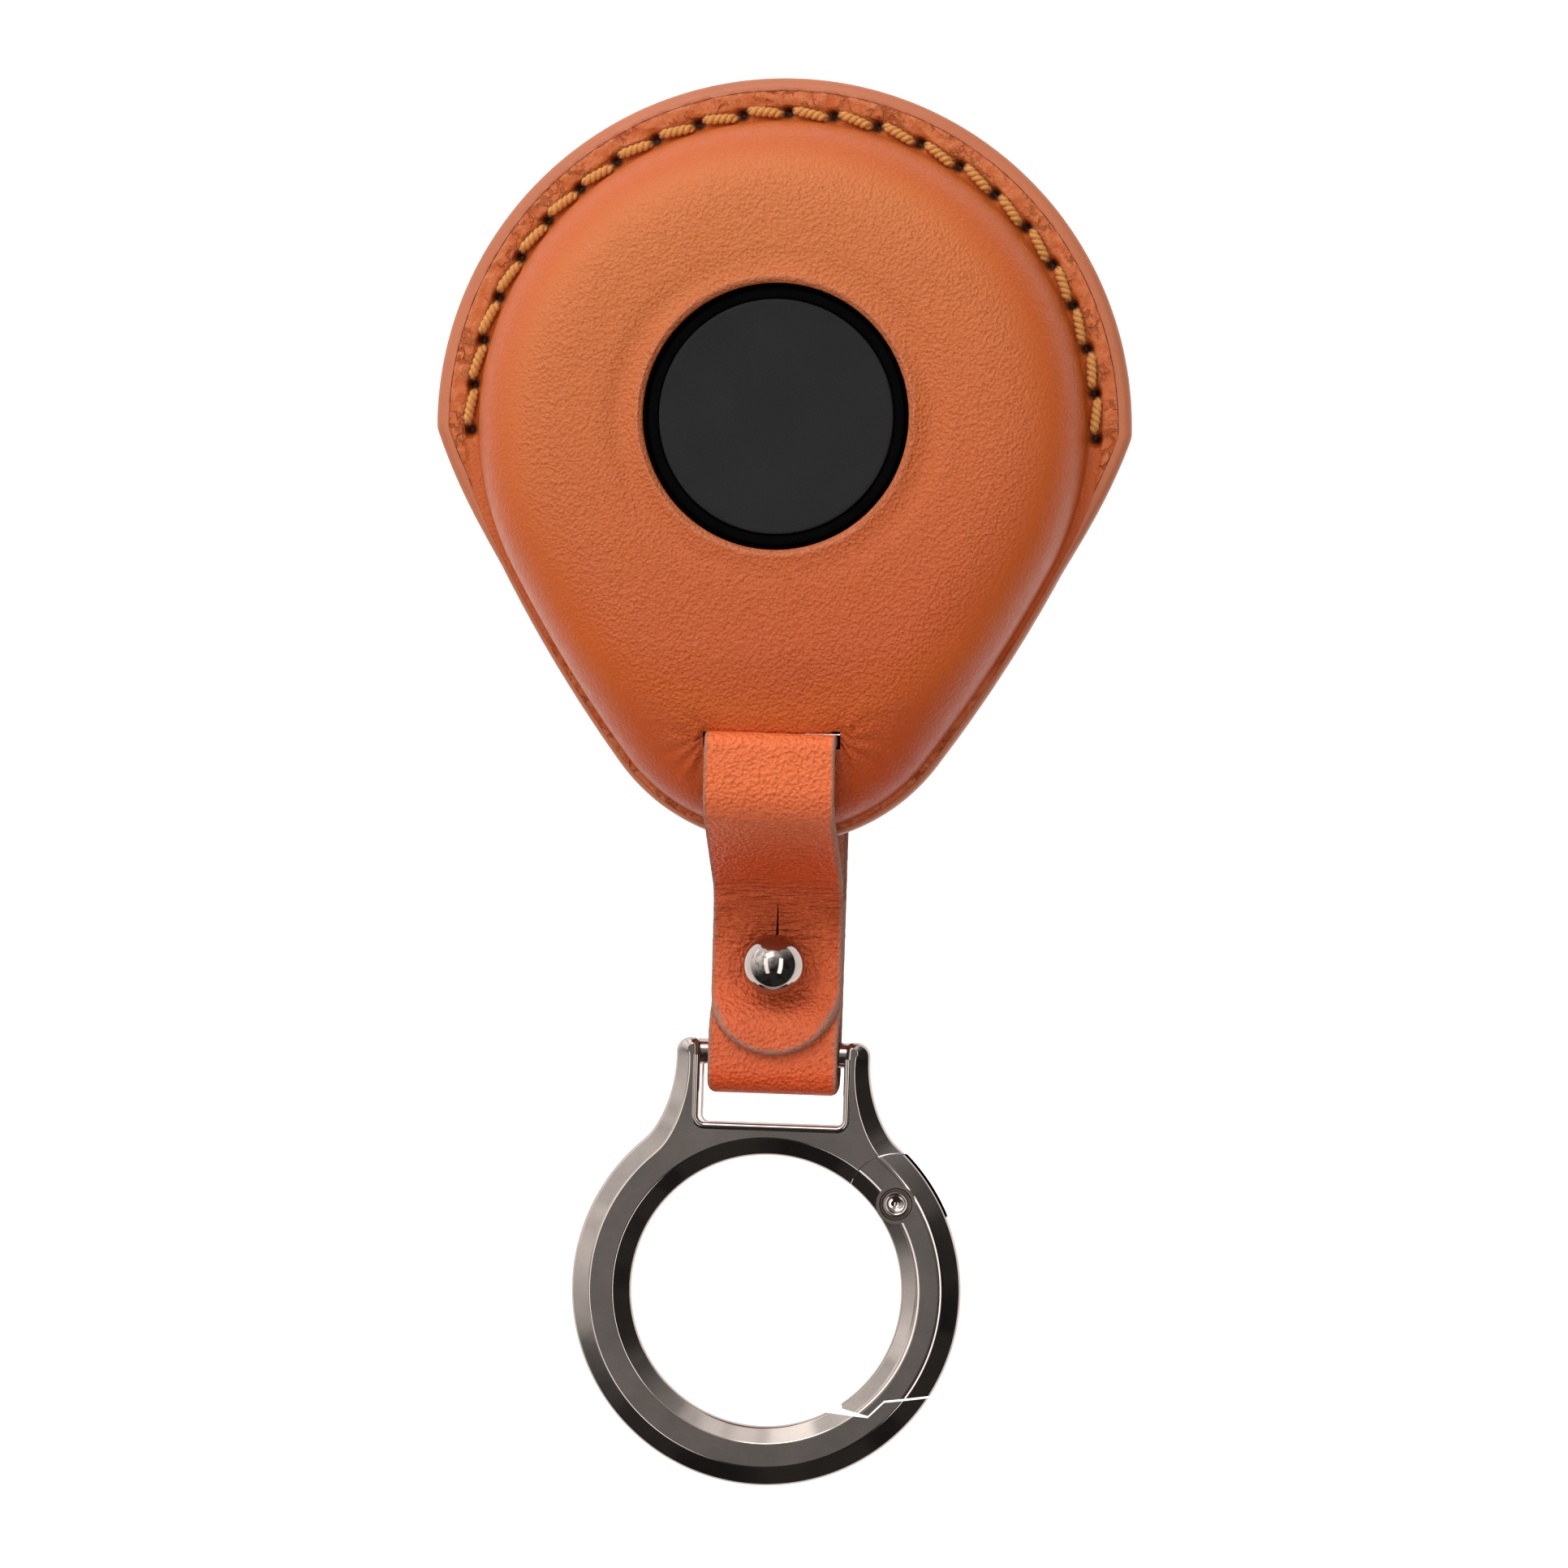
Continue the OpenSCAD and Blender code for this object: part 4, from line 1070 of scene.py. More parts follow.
def route(corners, step=0.0002):
    """Places and headings along a route of (y, z, bend radius) corners, about step apart."""
    places = [(corners[0][0], corners[0][1])]
    headings = []
    point = np.array(corners[0][:2])
    for i in range(1, len(corners) - 1):
        before, here, after = (np.array(corners[k][:2]) for k in (i - 1, i, i + 1))
        u, v = here - before, after - here
        h0, h1 = math.atan2(u[1], u[0]), math.atan2(v[1], v[0])
        turn = (h1 - h0 + math.pi) % (2 * math.pi) - math.pi
        side, r = math.copysign(1, turn), corners[i][2]
        run = r * math.tan(abs(turn) / 2)
        start = here - run * np.array([math.cos(h0), math.sin(h0)])
        length = np.linalg.norm(start - point)
        count = max(1, round(length / step))
        for k in range(count):
            p = point + (start - point) * k / count
            if not headings:
                places = []
            places.append(tuple(p))
            headings.append(h0)
        centre = start + side * r * np.array([-math.sin(h0), math.cos(h0)])
        count = max(4, round(abs(turn) * r / step))
        for k in range(count + 1):
            g = h0 + turn * k / count
            places.append(tuple(centre - side * r * np.array([-math.sin(g), math.cos(g)])))
            headings.append(g)
        point = np.array(places[-1])
        places.pop()
        headings.pop()
    end = np.array(corners[-1][:2])
    last = math.atan2(*(end - point)[::-1])
    count = max(1, round(np.linalg.norm(end - point) / step))
    for k in range(count + 1):
        places.append(tuple(point + (end - point) * k / count))
        headings.append(last)
    return np.array(places), np.array(headings)


def part_of(places, headings, seam, below):
    """The part of a route above or below a place along Y, with a row exactly there."""
    i = int(np.argmax(places[:, 0] <= seam))
    a, b = places[i - 1], places[i]
    t = (a[0] - seam) / (a[0] - b[0])
    row = a + (b - a) * t
    heading = headings[i - 1] + (headings[i] - headings[i - 1]) * t
    if below:
        skip = i + 1 if t > 0.8 else i
        return np.vstack([row, places[skip:]]), np.append(heading, headings[skip:])
    stop = i - 1 if t < 0.2 else i
    return np.vstack([places[:stop], row]), np.append(headings[:stop], heading)


def roll_off(inset, reach, fall):
    """How far a rounded edge has dropped at each distance from it."""
    return np.where(inset < reach, fall * (1 - np.sqrt(
        np.clip(1 - (1 - inset / reach) ** 2, 0, 1))), 0)


def strap_band(strap, corners, grain_side, first=None, last=None, round_end=False):
    """Points, faces and masks of a strap along a route, between two places along Y.

    grain_side is 1 where the smooth side lies left of the heading, and -1 where right."""
    s = strap.s
    half, t = s.strap_w / 2, s.strap_t / 2
    places, headings = route(corners)
    if first is not None:
        places, headings = part_of(places, headings, first, True)
    if last is not None:
        places, headings = part_of(places, headings, last, False)
    insets = np.array([0.0, 0.00004, 0.0001, 0.0002, 0.00035])
    lateral = np.concatenate([
        -half + insets, np.linspace(-half + 0.0007, half - 0.0007, 23), (half - insets)[::-1]])
    cols = len(lateral)
    end_mid = strap.end_y + half
    points, top, inset_all = [], [], []
    if round_end:
        extra = [0.9996, 0.998, 0.995, 0.990, 0.982]
        flat_z = places[-1][1]
        keep = places[:, 0] > end_mid - half * 0.97
        places, headings = places[keep], headings[keep]
        for share in sorted([0.972] + extra):
            places = np.vstack([places, [end_mid - half * share, flat_z]])
            headings = np.append(headings, headings[-1])
    for (y, z), h in zip(places, headings):
        normal = grain_side * np.array([-math.sin(h), math.cos(h)])
        wide = half
        if round_end and y < end_mid:
            wide = math.sqrt(max(half * half - (end_mid - y) ** 2, 1e-12))
        if not round_end:
            low = min(1.0, max(0.0, (strap.fold_y + 0.0007 - y) / 0.0007))
            wide = half - 0.0007 * (1 - math.sqrt(1 - low * low))
        xs = lateral * wide / half
        rag = np.array([noise.noise(Vector((y * 1900, z * 1900, k))) for k in (3, 9)]) * 0.00004
        xs = xs + np.where(xs < 0, -rag[0], rag[1]) * (np.abs(xs) / max(wide, 1e-9)) ** 6
        if round_end and y < end_mid:
            inset = half - np.hypot(xs, y - end_mid)
        else:
            inset = half - np.abs(xs)
        inset = np.clip(inset, 0, None)
        reach, fall = 0.00032, 0.00026
        if round_end:
            share = float(smooth((end_mid + 0.002 - y) / 0.004))
            reach, fall = reach + 0.0004 * share, fall + 0.0004 * share
        grain = (1.0, 1, roll_off(inset, reach, fall))
        flesh = (0.0, -1, roll_off(inset, 0.00018, 0.00018))
        for upper, way, drop in (grain, flesh):
            for x, d in zip(xs[::way], drop[::way]):
                points.append((x, *(np.array([y, z]) + way * normal * (t - d))))
            top += [upper] * cols
            inset_all += list(inset[::way])
    points = np.array(points)
    top, inset_all = np.array(top), np.array(inset_all)
    n = 2 * cols
    rows = len(places)
    faces = loop_faces(rows, n, closed=False)
    for base, order in ((0, 1), ((rows - 1) * n, -1)):
        for j in range(cols - 1):
            quad = (base + j, base + j + 1, base + n - 2 - j, base + n - 1 - j)
            faces.append(quad[::order])
    masks = strap_masks(strap, points, top, inset_all, round_end)
    lift = 0.00003 * grain_noise(points, 260, 4.0) + 0.00009 * masks["bend"] * grain_noise(
        points * np.array([0.35, 2.2, 1]), 420, 7.0)
    points[:, 2] += lift * top
    return points, faces, masks


def strap_masks(strap, points, top, inset, round_end):
    """Where a strap's leather is raw, bent, pulled by the stud, or darker and deeper as painted shade at its
    bends.
    """
    y, end_mid = points[:, 1], strap.end_y + strap.s.strap_w / 2
    bend = bell(np.abs(y - strap.bend_y + 0.0020), 0.0028, 3) * top
    away = np.hypot(points[:, 0], y - strap.stud_y)
    raw_w = strap.s.raw_w * (1 + (0.9 * smooth((end_mid - y) / 0.003) if round_end else 0))
    ragged = 1 + 0.35 * grain_noise(points, 1500, 2.0)
    return {
        "raw": smooth(1.25 - inset / (raw_w * ragged)),
        "flesh": 1 - top,
        "bend": bend,
        "pull": bell(away - 0.0040, 0.0013) * top,
        # Painted shade at the bend below the cover and at the fold by the bar
        "deep": np.clip(bell(y - strap.bend_y - 0.0022, 0.0026)
                        + bell(y - strap.bar_y + 0.0030, 0.0016), 0, 1) * top,
    }


def strap_shape(scene):
    """The strap's shape, from the sizes in the panel."""
    return StrapShape(CoverShape(scene.cover_sizes), scene.strap_sizes)


def strap_piece(name, node, strap, made, cutters=()):
    """A piece of the strap, turned as it hangs, cut, and with its masks."""
    points, faces, masks = made
    hung = strap.hang(points)
    piece = new_piece(name, hung, faces, "strap_leather")
    face_out(piece.data, MERGE)
    cut(piece, [(strap.hang(p), f) for p, f in cutters])
    carry_masks(piece.data, hung, masks)
    soften(piece.data, 55)
    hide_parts(node)
    return piece


class FOB_OT_strap(Operator):
    """Cuts and folds the strap: its front run, its tongue with keyhole and slit, and its rear loop"""
    bl_idname = "fob.strap"
    bl_label = "Fold the strap"

    def execute(self, context):
        strap = strap_shape(context.scene)
        seam = strap.bend_y
        front = strap_piece("strap_front_run", "strap_upper", strap,
                            strap_band(strap, strap.front, -1, last=seam))
        tongue = self.tongue(strap, seam)
        pocket = disc_outline(0, strap.stud_y, SCREW_POCKET_R)
        bore = disc_outline(0, strap.stud_y, SCREW_BORE_R)
        rear = strap_piece("strap_rear_loop", "strap_lower", strap, strap_band(strap, strap.rear, 1),
                           [prism(pocket, -0.0008, 0.0007), prism(bore, -0.0009, 0.0026)])
        up, mid, down = strap.hang([
            (0, strap.bend_y + away, strap.bend_z) for away in (BLEND_ABOVE, 0, -BLEND_BELOW)])
        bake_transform(front)
        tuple(up)
        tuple(mid)
        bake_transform(rear)
        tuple(up)
        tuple(mid)
        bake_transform(tongue)
        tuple(mid)
        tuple(down)
        return {"FINISHED"}

    def tongue(self, strap, seam):
        """The round end, dished around the ball, with its keyhole and slit."""
        points, faces, masks = strap_band(strap, strap.front, -1, first=seam, round_end=True)
        away = np.hypot(points[:, 0], points[:, 1] - strap.stud_y)
        points[:, 2] -= 0.00022 * bell(away - 0.002, 0.0016)
        hole = disc_outline(0, strap.stud_y, KEYHOLE_R)
        near, far = strap.stud_y + 0.0018, strap.stud_y + 0.00605
        slit = [(-0.00016, near), (0.00016, near), (0.00002, far), (-0.00002, far)]
        low = strap.tongue_z - 0.0012
        high = strap.tongue_z + 0.0012
        return strap_piece("strap_tongue_leather", "strap_tongue", strap, (points, faces, masks),
                           [prism(hole, low, high), prism(slit, low, high)])


class FOB_OT_stud(Operator):
    """Turns the ball stud on the strap"""
    bl_idname = "fob.stud"
    bl_label = "Turn the stud"

    def execute(self, context):
        strap = strap_shape(context.scene)
        x, y, _ = strap.hang(np.array([(0, strap.stud_y, 0)]))[0]
        foot, ball_r = strap.under_z + strap.s.strap_t / 2, strap.s.stud_r
        ball_z = strap.tongue_z + strap.s.strap_t / 2 + 0.95 * ball_r
        neck_r, low = 0.0013, foot + 0.0005
        profile = [(0, foot), (0.0018, foot), (0.0019, foot + 0.0001), (0.0019, foot + 0.0004),
                   (0.0018, low), (neck_r, low)]
        start = -math.acos(neck_r / ball_r)
        for k in range(49):
            a = start + (math.pi / 2 - start) * k / 48
            profile.append((ball_r * math.cos(a) if k < 48 else 0, ball_z + ball_r * math.sin(a)))
        turned_piece("stud_ball", profile, x, y, "gunmetal", "strap", "stud_head")
        return {"FINISHED"}


class FOB_OT_face(Operator):
    """Turns the fob's black bezel and its matt grey face"""
    bl_idname = "fob.face"
    bl_label = "Turn the fob's face"

    def execute(self, context):
        shape = CoverShape(context.scene.cover_sizes)
        low, high = FACE_LOW.z, BEZEL_HIGH.z - 0.0007
        r, w, e = (BEZEL_HIGH.x - BEZEL_LOW.x) / 2, 0.001, 0.0002
        profile = [(r - w, low), (r, low), (r, high - e), (r - 0.3 * e, high - 0.3 * e), (r - e, high),
                   (r - w + e, high), (r - w + 0.3 * e, high - 0.3 * e), (r - w, high - e), (r - w, low)]
        turned_piece("face_bezel", profile, 0, shape.window_y, "black_plastic", "case", "fob_bezel")
        r, high = (FACE_HIGH.x - FACE_LOW.x) / 2, FACE_HIGH.z
        profile = [(0, low), (r, low), (r, high - e), (r - 0.3 * e, high - 0.3 * e), (r - e, high),
                   (r - 2 * e, high), (0, high)]
        turned_piece("face_disc", profile, 0, shape.window_y, "grey_plastic", "case", "fob_face_disc")
        return {"FINISHED"}


# The ring

def unit(angle):
    """(x, y) at an angle on a circle of radius 1."""
    return np.array([math.cos(angle), math.sin(angle)])


def averaged(rows):
    """Each row of a closed loop, evened out with its two neighbours."""
    return (np.roll(rows, 1, 0) + 2 * rows + np.roll(rows, -1, 0)) / 4


class RingShape:
    """Outlines of the ring, its strap frame and its gate, about the centre of the eye."""

    def __init__(self, strap, s):
        self.strap, self.s = strap, s
        self.bar_y = s.ring_r + BAR_OVER_RING
        self.centre_y = strap.bar_y - self.bar_y
        self.eye_r = s.ring_r - s.band_w
        self.mid_r = (s.ring_r + self.eye_r) / 2
        self.nose_r = self.mid_r - 0.000175
        self.near, self.far = self.eye_r - 0.0016, s.ring_r + 0.00175
        self.turn = math.radians(GATE_TURN_DEG)
        self.pivot = (self.mid_r - 0.0007) * unit(self.turn)

    def hang(self, points):
        """Points about the eye, moved to where the ring hangs on the strap."""
        return self.strap.hang(np.array(points) + np.array([0, self.centre_y, 0]))

    def polar(self, r, *degrees):
        """(x, y) on a circle about the eye, at each bearing in degrees."""
        return [tuple(r * unit(math.radians(a))) for a in degrees]

    def gap_start(self):
        """The stepped parting of ring and gate, from the outer edge to the nose."""
        return self.polar(self.far, -27.3) + self.polar(self.nose_r, -41, -48.8)

    def block(self, outline, low=-CUT_OVER, high=None):
        """Points and faces of a prism over an outline, through the whole ring unless told."""
        points, faces = prism(outline, low, self.s.ring_t + CUT_OVER if high is None else high)
        return self.hang(points), faces

    def hinge_disc(self, r, steps=64):
        """A circle around the gate's pin."""
        return disc_outline(*self.pivot, r, steps)

    def frame_outline(self):
        """Outer outline of ring and frame, and the width and height of its bevel at each point."""
        s, flare_r = self.s, 0.013
        flare_x = s.frame_half_w + flare_r
        flare_y = math.sqrt((flare_r + s.ring_r - 0.00035) ** 2 - flare_x ** 2)
        reach, lean = math.hypot(flare_x, flare_y), math.atan2(flare_y, flare_x)
        meet = lean + math.acos((s.ring_r ** 2 - reach ** 2 - flare_r ** 2) / (2 * reach * flare_r))
        corner = np.array([flare_x, flare_y]) + flare_r * unit(meet)
        first = math.atan2(corner[1], corner[0])
        top, foot, step = self.bar_y + s.bar_r + 0.0001, self.bar_y - SLOT_UNDER_BAR, 0.00024
        half, slot, r, q = s.frame_half_w, s.slot_half_w, 0.00135, 0.0007
        rows = []

        def arc(x, y, radius, a, b, wide, high):
            count = max(3, round(abs(b - a) * radius / step))
            for i in range(count):
                t = i / count
                p = np.array([x, y]) + radius * unit(a + (b - a) * t)
                rows.append((*p, wide[0] + (wide[1] - wide[0]) * t, high[0] + (high[1] - high[0]) * t))

        def line(x0, y0, x1, y1, wide, high):
            count = max(1, round(math.hypot(x1 - x0, y1 - y0) / step))
            for i in range(count):
                t = i / count
                rows.append((x0 + (x1 - x0) * t, y0 + (y1 - y0) * t, wide, high))

        w, h = s.outer_bevel, s.bevel_h
        leg, inside = 0.0013, 0.00035
        arc(0, 0, s.ring_r, -math.pi / 2, first, (w, w), (h, h))
        arc(flare_x, flare_y, flare_r, meet, math.pi, (w, leg), (h, 0.0009))
        line(half, flare_y, half, top - r, leg, 0.0009)
        arc(half - r, top - r, r, 0, math.pi / 2, (leg, 0.0006), (0.0009, 0.0005))
        line(half - r, top, slot + q, top, 0.0006, 0.0005)
        arc(slot + q, top - q, q, math.pi / 2, math.pi, (0.0006, inside), (0.0005, inside))
        line(slot, top - q, slot, foot + q, inside, inside)
        arc(slot - q, foot + q, q, 0, -math.pi / 2, (inside, inside), (inside, inside))
        line(slot - q, foot, 0, foot, inside, inside)
        right = np.array(rows)
        left = right[::-1] * np.array([-1, 1, 1, 1])
        middle = np.array([(0, foot, inside, inside)])
        whole = np.vstack([right, middle, left[:-1]])
        for _ in range(14):
            near = whole[:, :2]
            away = np.hypot(np.abs(near[:, 0]) - corner[0], near[:, 1] - corner[1])
            at_corner = bell(away, 0.0016, 4)
            whole[:, :2] = near + (averaged(near) - near) * at_corner[:, None]
        for _ in range(6):
            whole[:, 2:] = averaged(whole[:, 2:])
        return whole

    def rim(self, outline):
        """Rows of points around one edge of a plate, from its bottom face to its top face."""
        t, r = self.s.ring_t, self.s.edge_r
        xy, wide, high = outline[:, :2], outline[:, 2], outline[:, 3]
        along = np.roll(xy, -1, 0) - np.roll(xy, 1, 0)
        along /= np.linalg.norm(along, axis=1, keepdims=True)
        inward = np.stack([-along[:, 1], along[:, 0]], 1)
        zero, flat = np.zeros_like(wide), wide + 0.00025
        corners = [np.stack(c, 1) for c in (
            (flat, zero), (wide, zero), (zero, high), (zero, t - high), (wide, zero + t), (flat, zero + t))]
        rows = []
        for row in rounded(corners, r):
            at = xy + inward * row[:, :1]
            rows.append(np.column_stack([at, row[:, 1]]))
        return np.array(rows)

    def section(self):
        """The band's closed section of (radius, height) corners, with rounded edges."""
        s, t, e = self.s, self.s.ring_t, self.eye_r
        r, h, w, v = s.ring_r, s.bevel_h, s.outer_bevel, s.inner_bevel
        corners = [(e, h), (e + v, 0), (r - w, 0), (r, h), (r, t - h), (r - w, t), (e + v, t), (e, t - h)]
        loop = [corners[-1]] + corners + corners[:1]
        made = rounded([np.array([c]) for c in loop], s.edge_r)
        return [tuple(c[0]) for c in made[1:-1]]


class FOB_OT_ring(Operator):
    """Casts the bevelled ring and strap frame, and fits the gate and its pin"""
    bl_idname = "fob.ring"
    bl_label = "Cast the ring and gate"

    def execute(self, context):
        ring = RingShape(strap_shape(context.scene), context.scene.ring_sizes)
        self.frame_piece(ring)
        self.gate_piece(ring)
        x, y, _ = ring.hang([(*ring.pivot, 0)])[0]
        s, low = ring.s, 0.0001
        high, r = s.ring_t - low, s.pin_r
        head = r + 0.00065
        over = [(r, 0.0005), (head, 0.0005), (head, 0.00012), (head - 0.00010, 0.00002),
                (head - 0.00018, 0.00002), (head - 0.00027, 0.00018), (head - 0.00033, 0.00018),
                (head - 0.00040, 0.00002), (head - 0.00050, 0.0), (head - 0.00062, 0.00006),
                (head - 0.00072, 0.0003), (head - 0.00076, 0.0007), (0.0003, 0.0008), (0, 0.0011)]
        profile = [(x, low + z) for x, z in over[::-1]] + [(x, high - z) for x, z in over]
        turned_piece("gate_pin", profile, x, y, "gunmetal", "ring", "gate_pivot_pin")
        return {"FINISHED"}

    def frame_piece(self, ring):
        """The ring's body with its strap frame, bar, slot lips and knuckle."""
        s = ring.s
        outer = ring.frame_outline()
        steps = 300
        eye = np.array([(*(ring.eye_r * unit(-2 * math.pi * i / steps)), s.inner_bevel, s.bevel_h)
                        for i in range(steps)])
        points, faces, lows, highs = [], [], [], []
        for outline in (outer, eye):
            rows = ring.rim(outline)
            n, base = len(outline), len(points)
            points += [tuple(p) for p in rows.reshape(-1, 3)]
            faces += [tuple(base + i for i in f) for f in loop_faces(len(rows), n, closed=False)]
            lows.append([base + i for i in range(n)])
            highs.append([base + (len(rows) - 1) * n + i for i in range(n)])
        for loops in (lows, highs):
            flat = [[Vector((points[i][0], points[i][1], 0)) for i in loop] for loop in loops]
            order = loops[0] + loops[1]
            faces += [tuple(order[i] for i in tri) for tri in geometry.tessellate_polygon(flat)]
        piece = new_piece("ring_body", ring.hang(points), faces, "gunmetal")
        face_out(piece.data, MERGE)
        gap = (ring.gap_start() + ring.polar(ring.eye_r, -62)
               + ring.polar(ring.near, -62, -40, -20, 0, 20, GATE_TURN_DEG)
               + ring.polar(ring.far, GATE_TURN_DEG, 20, 0, -14))
        cut(piece, [ring.block(gap), ring.block(ring.hinge_disc(HINGE_R + HINGE_GAP, 96))])
        # The knuckle between the gate's cheeks, and the slot's lip on both faces
        bearings = np.linspace(ring.turn, math.radians(58), 9)
        neck = [tuple((ring.mid_r - 0.0022) * unit(a)) for a in bearings]
        neck += [tuple((ring.mid_r + 0.0008) * unit(a)) for a in bearings[::-1]]
        low, high = 0.0015, 0.0027
        added = [(ring.hang(points), faces) for points, faces in (
            self.bar(ring), self.bead(ring, s.ring_t - 0.0001), self.bead(ring, 0.0001))]
        knuckle = [ring.block(neck, low, high), ring.block(ring.hinge_disc(0.0019, 48), low, high)]
        cut(piece, added[:1] + knuckle + added[1:], "UNION")
        fit(piece, "ring", "ring_frame", sharp=RING_SHARP)

    def bar(self, ring):
        """The round bar between the frame's legs."""
        s, steps = ring.s, 48
        reach = s.frame_half_w - 0.0009
        circle = disc_outline(ring.bar_y, s.ring_t / 2, s.bar_r, steps)
        points = [(x, *p) for x in (-reach, reach) for p in circle]
        faces = [(i, (i + 1) % steps, steps + (i + 1) % steps, steps + i) for i in range(steps)]
        faces += [tuple(range(steps)), tuple(range(2 * steps - 1, steps - 1, -1))]
        return points, faces

    def bead(self, ring, z):
        """The rounded lip around the sides and foot of the strap slot."""
        s, r, steps = ring.s, 0.00034, 12
        x, foot, turn = s.slot_half_w + 0.00022, ring.bar_y - SLOT_UNDER_BAR - 0.00022, 0.0009
        right = [(x, ring.bar_y - 0.0003), (x, ring.bar_y - 0.003)]
        right += [(x - turn + turn * math.cos(a), foot + turn + turn * math.sin(a))
                  for a in np.linspace(0, -math.pi / 2, 9)]
        path = np.array(right + [(0.0, foot)] + [(-px, py) for px, py in right[::-1]])
        points = []
        for (px, py), (hx, hy) in zip(path, heading_along(path)):
            for j in range(steps):
                b = 2 * math.pi * j / steps
                points.append((px - hy * r * math.cos(b), py + hx * r * math.cos(b), z + r * math.sin(b)))
        return points, loop_faces(len(path), steps, closed=False) + end_caps(len(path), steps)

    def gate_piece(self, ring):
        """The gate, with its stepped nose and the boss around its pin."""
        s = ring.s
        section = ring.section()
        angles = np.radians(np.linspace(-57.0, 60.0, 118))
        points = [(r * math.cos(a), r * math.sin(a), z) for a in angles for r, z in section]
        rows, n = len(angles), len(section)
        faces = loop_faces(rows, n, closed=False) + end_caps(rows, n)
        piece = new_piece("ring_gate", ring.hang(points), faces, "gunmetal")
        face_out(piece.data, MERGE)
        nose = (ring.gap_start() + ring.polar(ring.eye_r + 0.00065, -55.3) + ring.polar(ring.near, -51.5, -90)
                + ring.polar(ring.far, -90) + ring.polar(1.4 * s.ring_r, -58.6))
        nose = [(x, y + 0.0002) for x, y in nose]
        across, along = unit(ring.turn), unit(ring.turn + math.pi / 2)
        end = [tuple(ring.pivot + HINGE_R * unit(ring.turn + a)) for a in np.linspace(0, math.pi, 65)]
        end += [tuple(ring.pivot + x * across + y * along)
                for x, y in ((-0.009, 0), (-0.009, 0.014), (0.009, 0.014), (0.009, 0))]
        boss, bore, seat = (ring.hinge_disc(s.pin_r + wider) for wider in (0.00098, 0.00004, 0.00069))
        cut(piece, [ring.block(boss, -0.00008, s.ring_t + 0.00008)], "UNION")
        cut(piece, [ring.block(nose), ring.block(end),
                    ring.block(ring.hinge_disc(HINGE_R + HINGE_GAP, 96), 0.00144, 0.0038), ring.block(bore),
                    ring.block(seat, s.ring_t - 0.00065), ring.block(seat, high=0.00065)])
        fit(piece, "gate", "gate", sharp=RING_SHARP)


# The stage

# The floor lies low enough for the ring to hang down at the end of its travel
FLOOR_Z, FLOOR_REACH, FLOOR_GLOW = -0.055, 3.0, 0.70
BRIGHT_SIDE = (-0.50, 0.85, 0.12)
AIM = Vector((0.00058, 0, 0.0095))
CAMERA_AWAY, VIEW_W = 1.2, 0.1442
# Name, place, width, height and power in watts
SOFTBOXES = (
    ("top_box", (-0.20, 0.62, 0.80), 0.45, 0.30, 2.3),
    ("left_pane", (-0.37, -0.06, 0.82), 0.95, 0.24, 1.4),
    ("right_pane", (0.45, -0.06, 0.78), 0.95, 0.24, 2.0),
    ("low_fill", (0.0, -0.55, 0.75), 0.50, 0.30, 1.4),
)


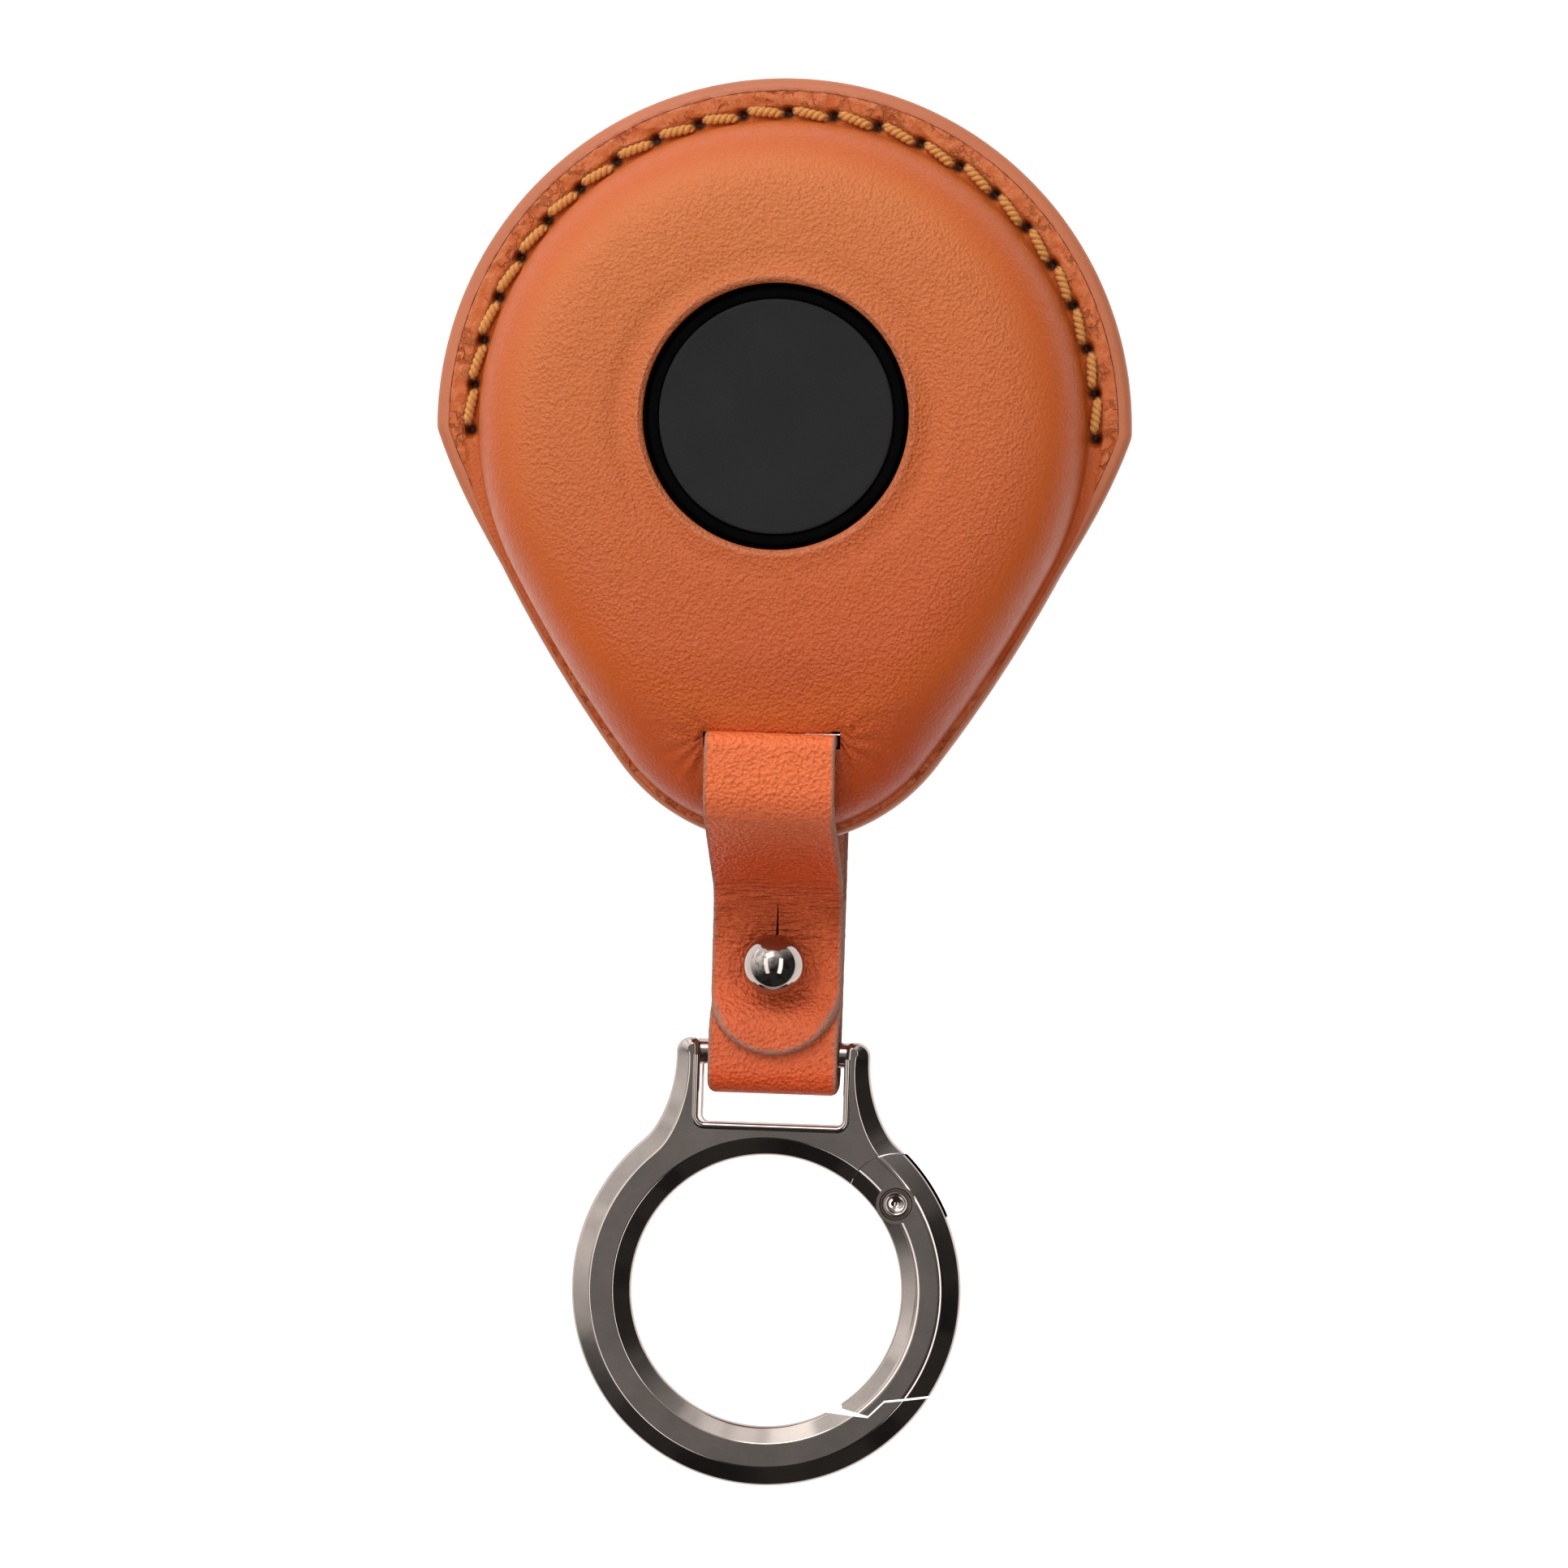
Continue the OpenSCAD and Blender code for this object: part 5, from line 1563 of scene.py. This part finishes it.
class FOB_OT_stage(Operator):
    """Sets the white floor, the soft lights and the camera"""
    bl_idname = "fob.stage"
    bl_label = "Set the stage"

    def execute(self, context):
        scene = context.scene
        scene.view_settings.view_transform = "Standard"
        self.floor_finish()
        corners = [(x * FLOOR_REACH, y * FLOOR_REACH, FLOOR_Z)
                   for x, y in ((-1, -1), (1, -1), (1, 1), (-1, 1))]
        floor = new_piece("floor", corners, [(0, 1, 2, 3)], "white_floor")
        self.sky(scene)
        self.camera(scene)
        for name, place, width, height, power in SOFTBOXES:
            self.softbox(scene, name, place, width, height, power)
        # The fill lifts the shadows, and metal doesn't mirror it
        bpy.data.objects["low_fill"].visible_glossy = False
        return {"FINISHED"}

    def camera(self, scene):
        """Looks down at the cover, nearly upright."""
        cam = bpy.data.cameras.new("camera")
        cam.sensor_width = 36.0
        cam.lens = cam.sensor_width * CAMERA_AWAY / VIEW_W
        cam.clip_start, cam.clip_end = 0.01, 20.0
        camera = bpy.data.objects.new("camera", cam)
        scene.collection.objects.link(camera)
        tilt, roll = math.radians(5.0), math.radians(1.0)
        camera.location = AIM + CAMERA_AWAY * Vector((math.sin(tilt), 0, math.cos(tilt)))
        camera.rotation_euler = (Matrix.Rotation(tilt, 3, "Y") @ Matrix.Rotation(roll, 3, "Z")).to_euler()
        scene.camera = camera

    def floor_finish(self):
        """White, and glowing where the camera or a mirror sees it."""
        m = Recipe("white_floor")
        seen = m.add("ShaderNodeLightPath")
        sharp = m.math("MAXIMUM", seen.outputs["Is Glossy Ray"], seen.outputs["Is Transmission Ray"])
        shows = m.math("MAXIMUM", seen.outputs["Is Camera Ray"], sharp)
        glow = m.add("ShaderNodeEmission")
        m.link(m.math("MULTIPLY", shows, FLOOR_GLOW), glow.inputs["Strength"])
        both = m.add("ShaderNodeAddShader")
        m.link(m.shader.outputs["BSDF"], both.inputs[0])
        m.link(glow.outputs["Emission"], both.inputs[1])
        m.link(both.outputs["Shader"], m.out.inputs["Surface"])
        return m.finish((0.8, 0.8, 0.8), 0.8, Specular_IOR_Level=0.1)

    def sky(self, scene):
        """The studio all around, as polished metal mirrors it."""
        world = bpy.data.worlds.new("studio")
        scene.world = world
        world.use_nodes = True
        n = Nodes(world.node_tree)
        way = n.add("ShaderNodeTexCoord").outputs["Generated"]
        # The studio is brightest to the upper left and dark to the right and below
        side = n.add("ShaderNodeVectorMath", operation="DOT_PRODUCT")
        n.link(way, side.inputs[0])
        side.inputs[1].default_value = BRIGHT_SIDE
        glow = n.math("POWER", n.remap(side.outputs["Value"], -0.15, 1.0), 1.6)
        # Screens with soft edges break up what the metal mirrors
        cloud = n.add("ShaderNodeTexNoise", Scale=2.4, Detail=1.0)
        n.link(way, cloud.inputs["Vector"])
        screens = n.remap(cloud.outputs["Fac"], 0.46, 0.52, 0.60, 1.12)
        light = n.math("MULTIPLY", n.math("MULTIPLY_ADD", glow, 2.0, 0.04), screens)
        # The camera sees plain white
        white = n.add("ShaderNodeMix")
        seen = n.add("ShaderNodeLightPath").outputs["Is Camera Ray"]
        for socket, value in ((white.inputs[0], seen), (white.inputs[2], light), (white.inputs[3], 1.0)):
            n.put(socket, value)
        back = world.node_tree.nodes["Background"]
        n.link(white.outputs[0], back.inputs["Strength"])
        n.put(back.inputs["Color"], (1, 1, 1))

    def softbox(self, scene, name, place, width, height, power):
        """A soft rectangular light that points at the cover."""
        light = bpy.data.lights.new(name, "AREA")
        light.shape = "RECTANGLE"
        light.size, light.size_y = width, height
        light.energy = power
        box = bpy.data.objects.new(name, light)
        box.location = place
        aim = Vector((0, 0, 0.01)) - Vector(place)
        box.rotation_euler = aim.to_track_quat("-Z", "Y").to_euler()
        scene.collection.objects.link(box)


# The steps, in their order
STEPS = ("finishes", "shells", "linings", "stitches", "face", "strap", "stud", "ring", "stage")


class FOB_PT_panel(Panel):
    """The builder's steps and sizes"""
    bl_idname = "FOB_PT_panel"
    bl_label = "Key fob cover"
    bl_space_type = "VIEW_3D"
    bl_region_type = "UI"
    bl_category = "Fob Cover"

    def draw(self, context):
        for step in STEPS:
            self.layout.operator("fob." + step)
        for group in (getattr(context.scene, name) for name in GROUPS):
            box = self.layout.box()
            for name in group.bl_rna.properties.keys():
                if name not in ("rna_type", "name"):
                    box.prop(group, name)


CLASSES = (CoverSizes, StrapSizes, RingSizes, FinishColours, FOB_OT_finishes, FOB_OT_shells,
           FOB_OT_linings, FOB_OT_stitches, FOB_OT_face, FOB_OT_strap, FOB_OT_stud, FOB_OT_ring,
           FOB_OT_stage, FOB_PT_panel)


GROUPS = {"cover_sizes": CoverSizes, "strap_sizes": StrapSizes, "ring_sizes": RingSizes,
          "finish_colours": FinishColours}


def register():
    """Makes the sizes, the steps and the panel known to Blender."""
    for item in CLASSES:
        bpy.utils.register_class(item)
    for name, group in GROUPS.items():
        setattr(bpy.types.Scene, name, PointerProperty(type=group))


def unregister():
    """Takes them away again."""
    for name in GROUPS:
        delattr(bpy.types.Scene, name)
    for item in reversed(CLASSES):
        bpy.utils.unregister_class(item)


def main():
    """Takes all steps in their order."""
    register()
    for step in STEPS:
        getattr(bpy.ops.fob, step)()


if __name__ == "__main__":
    main()
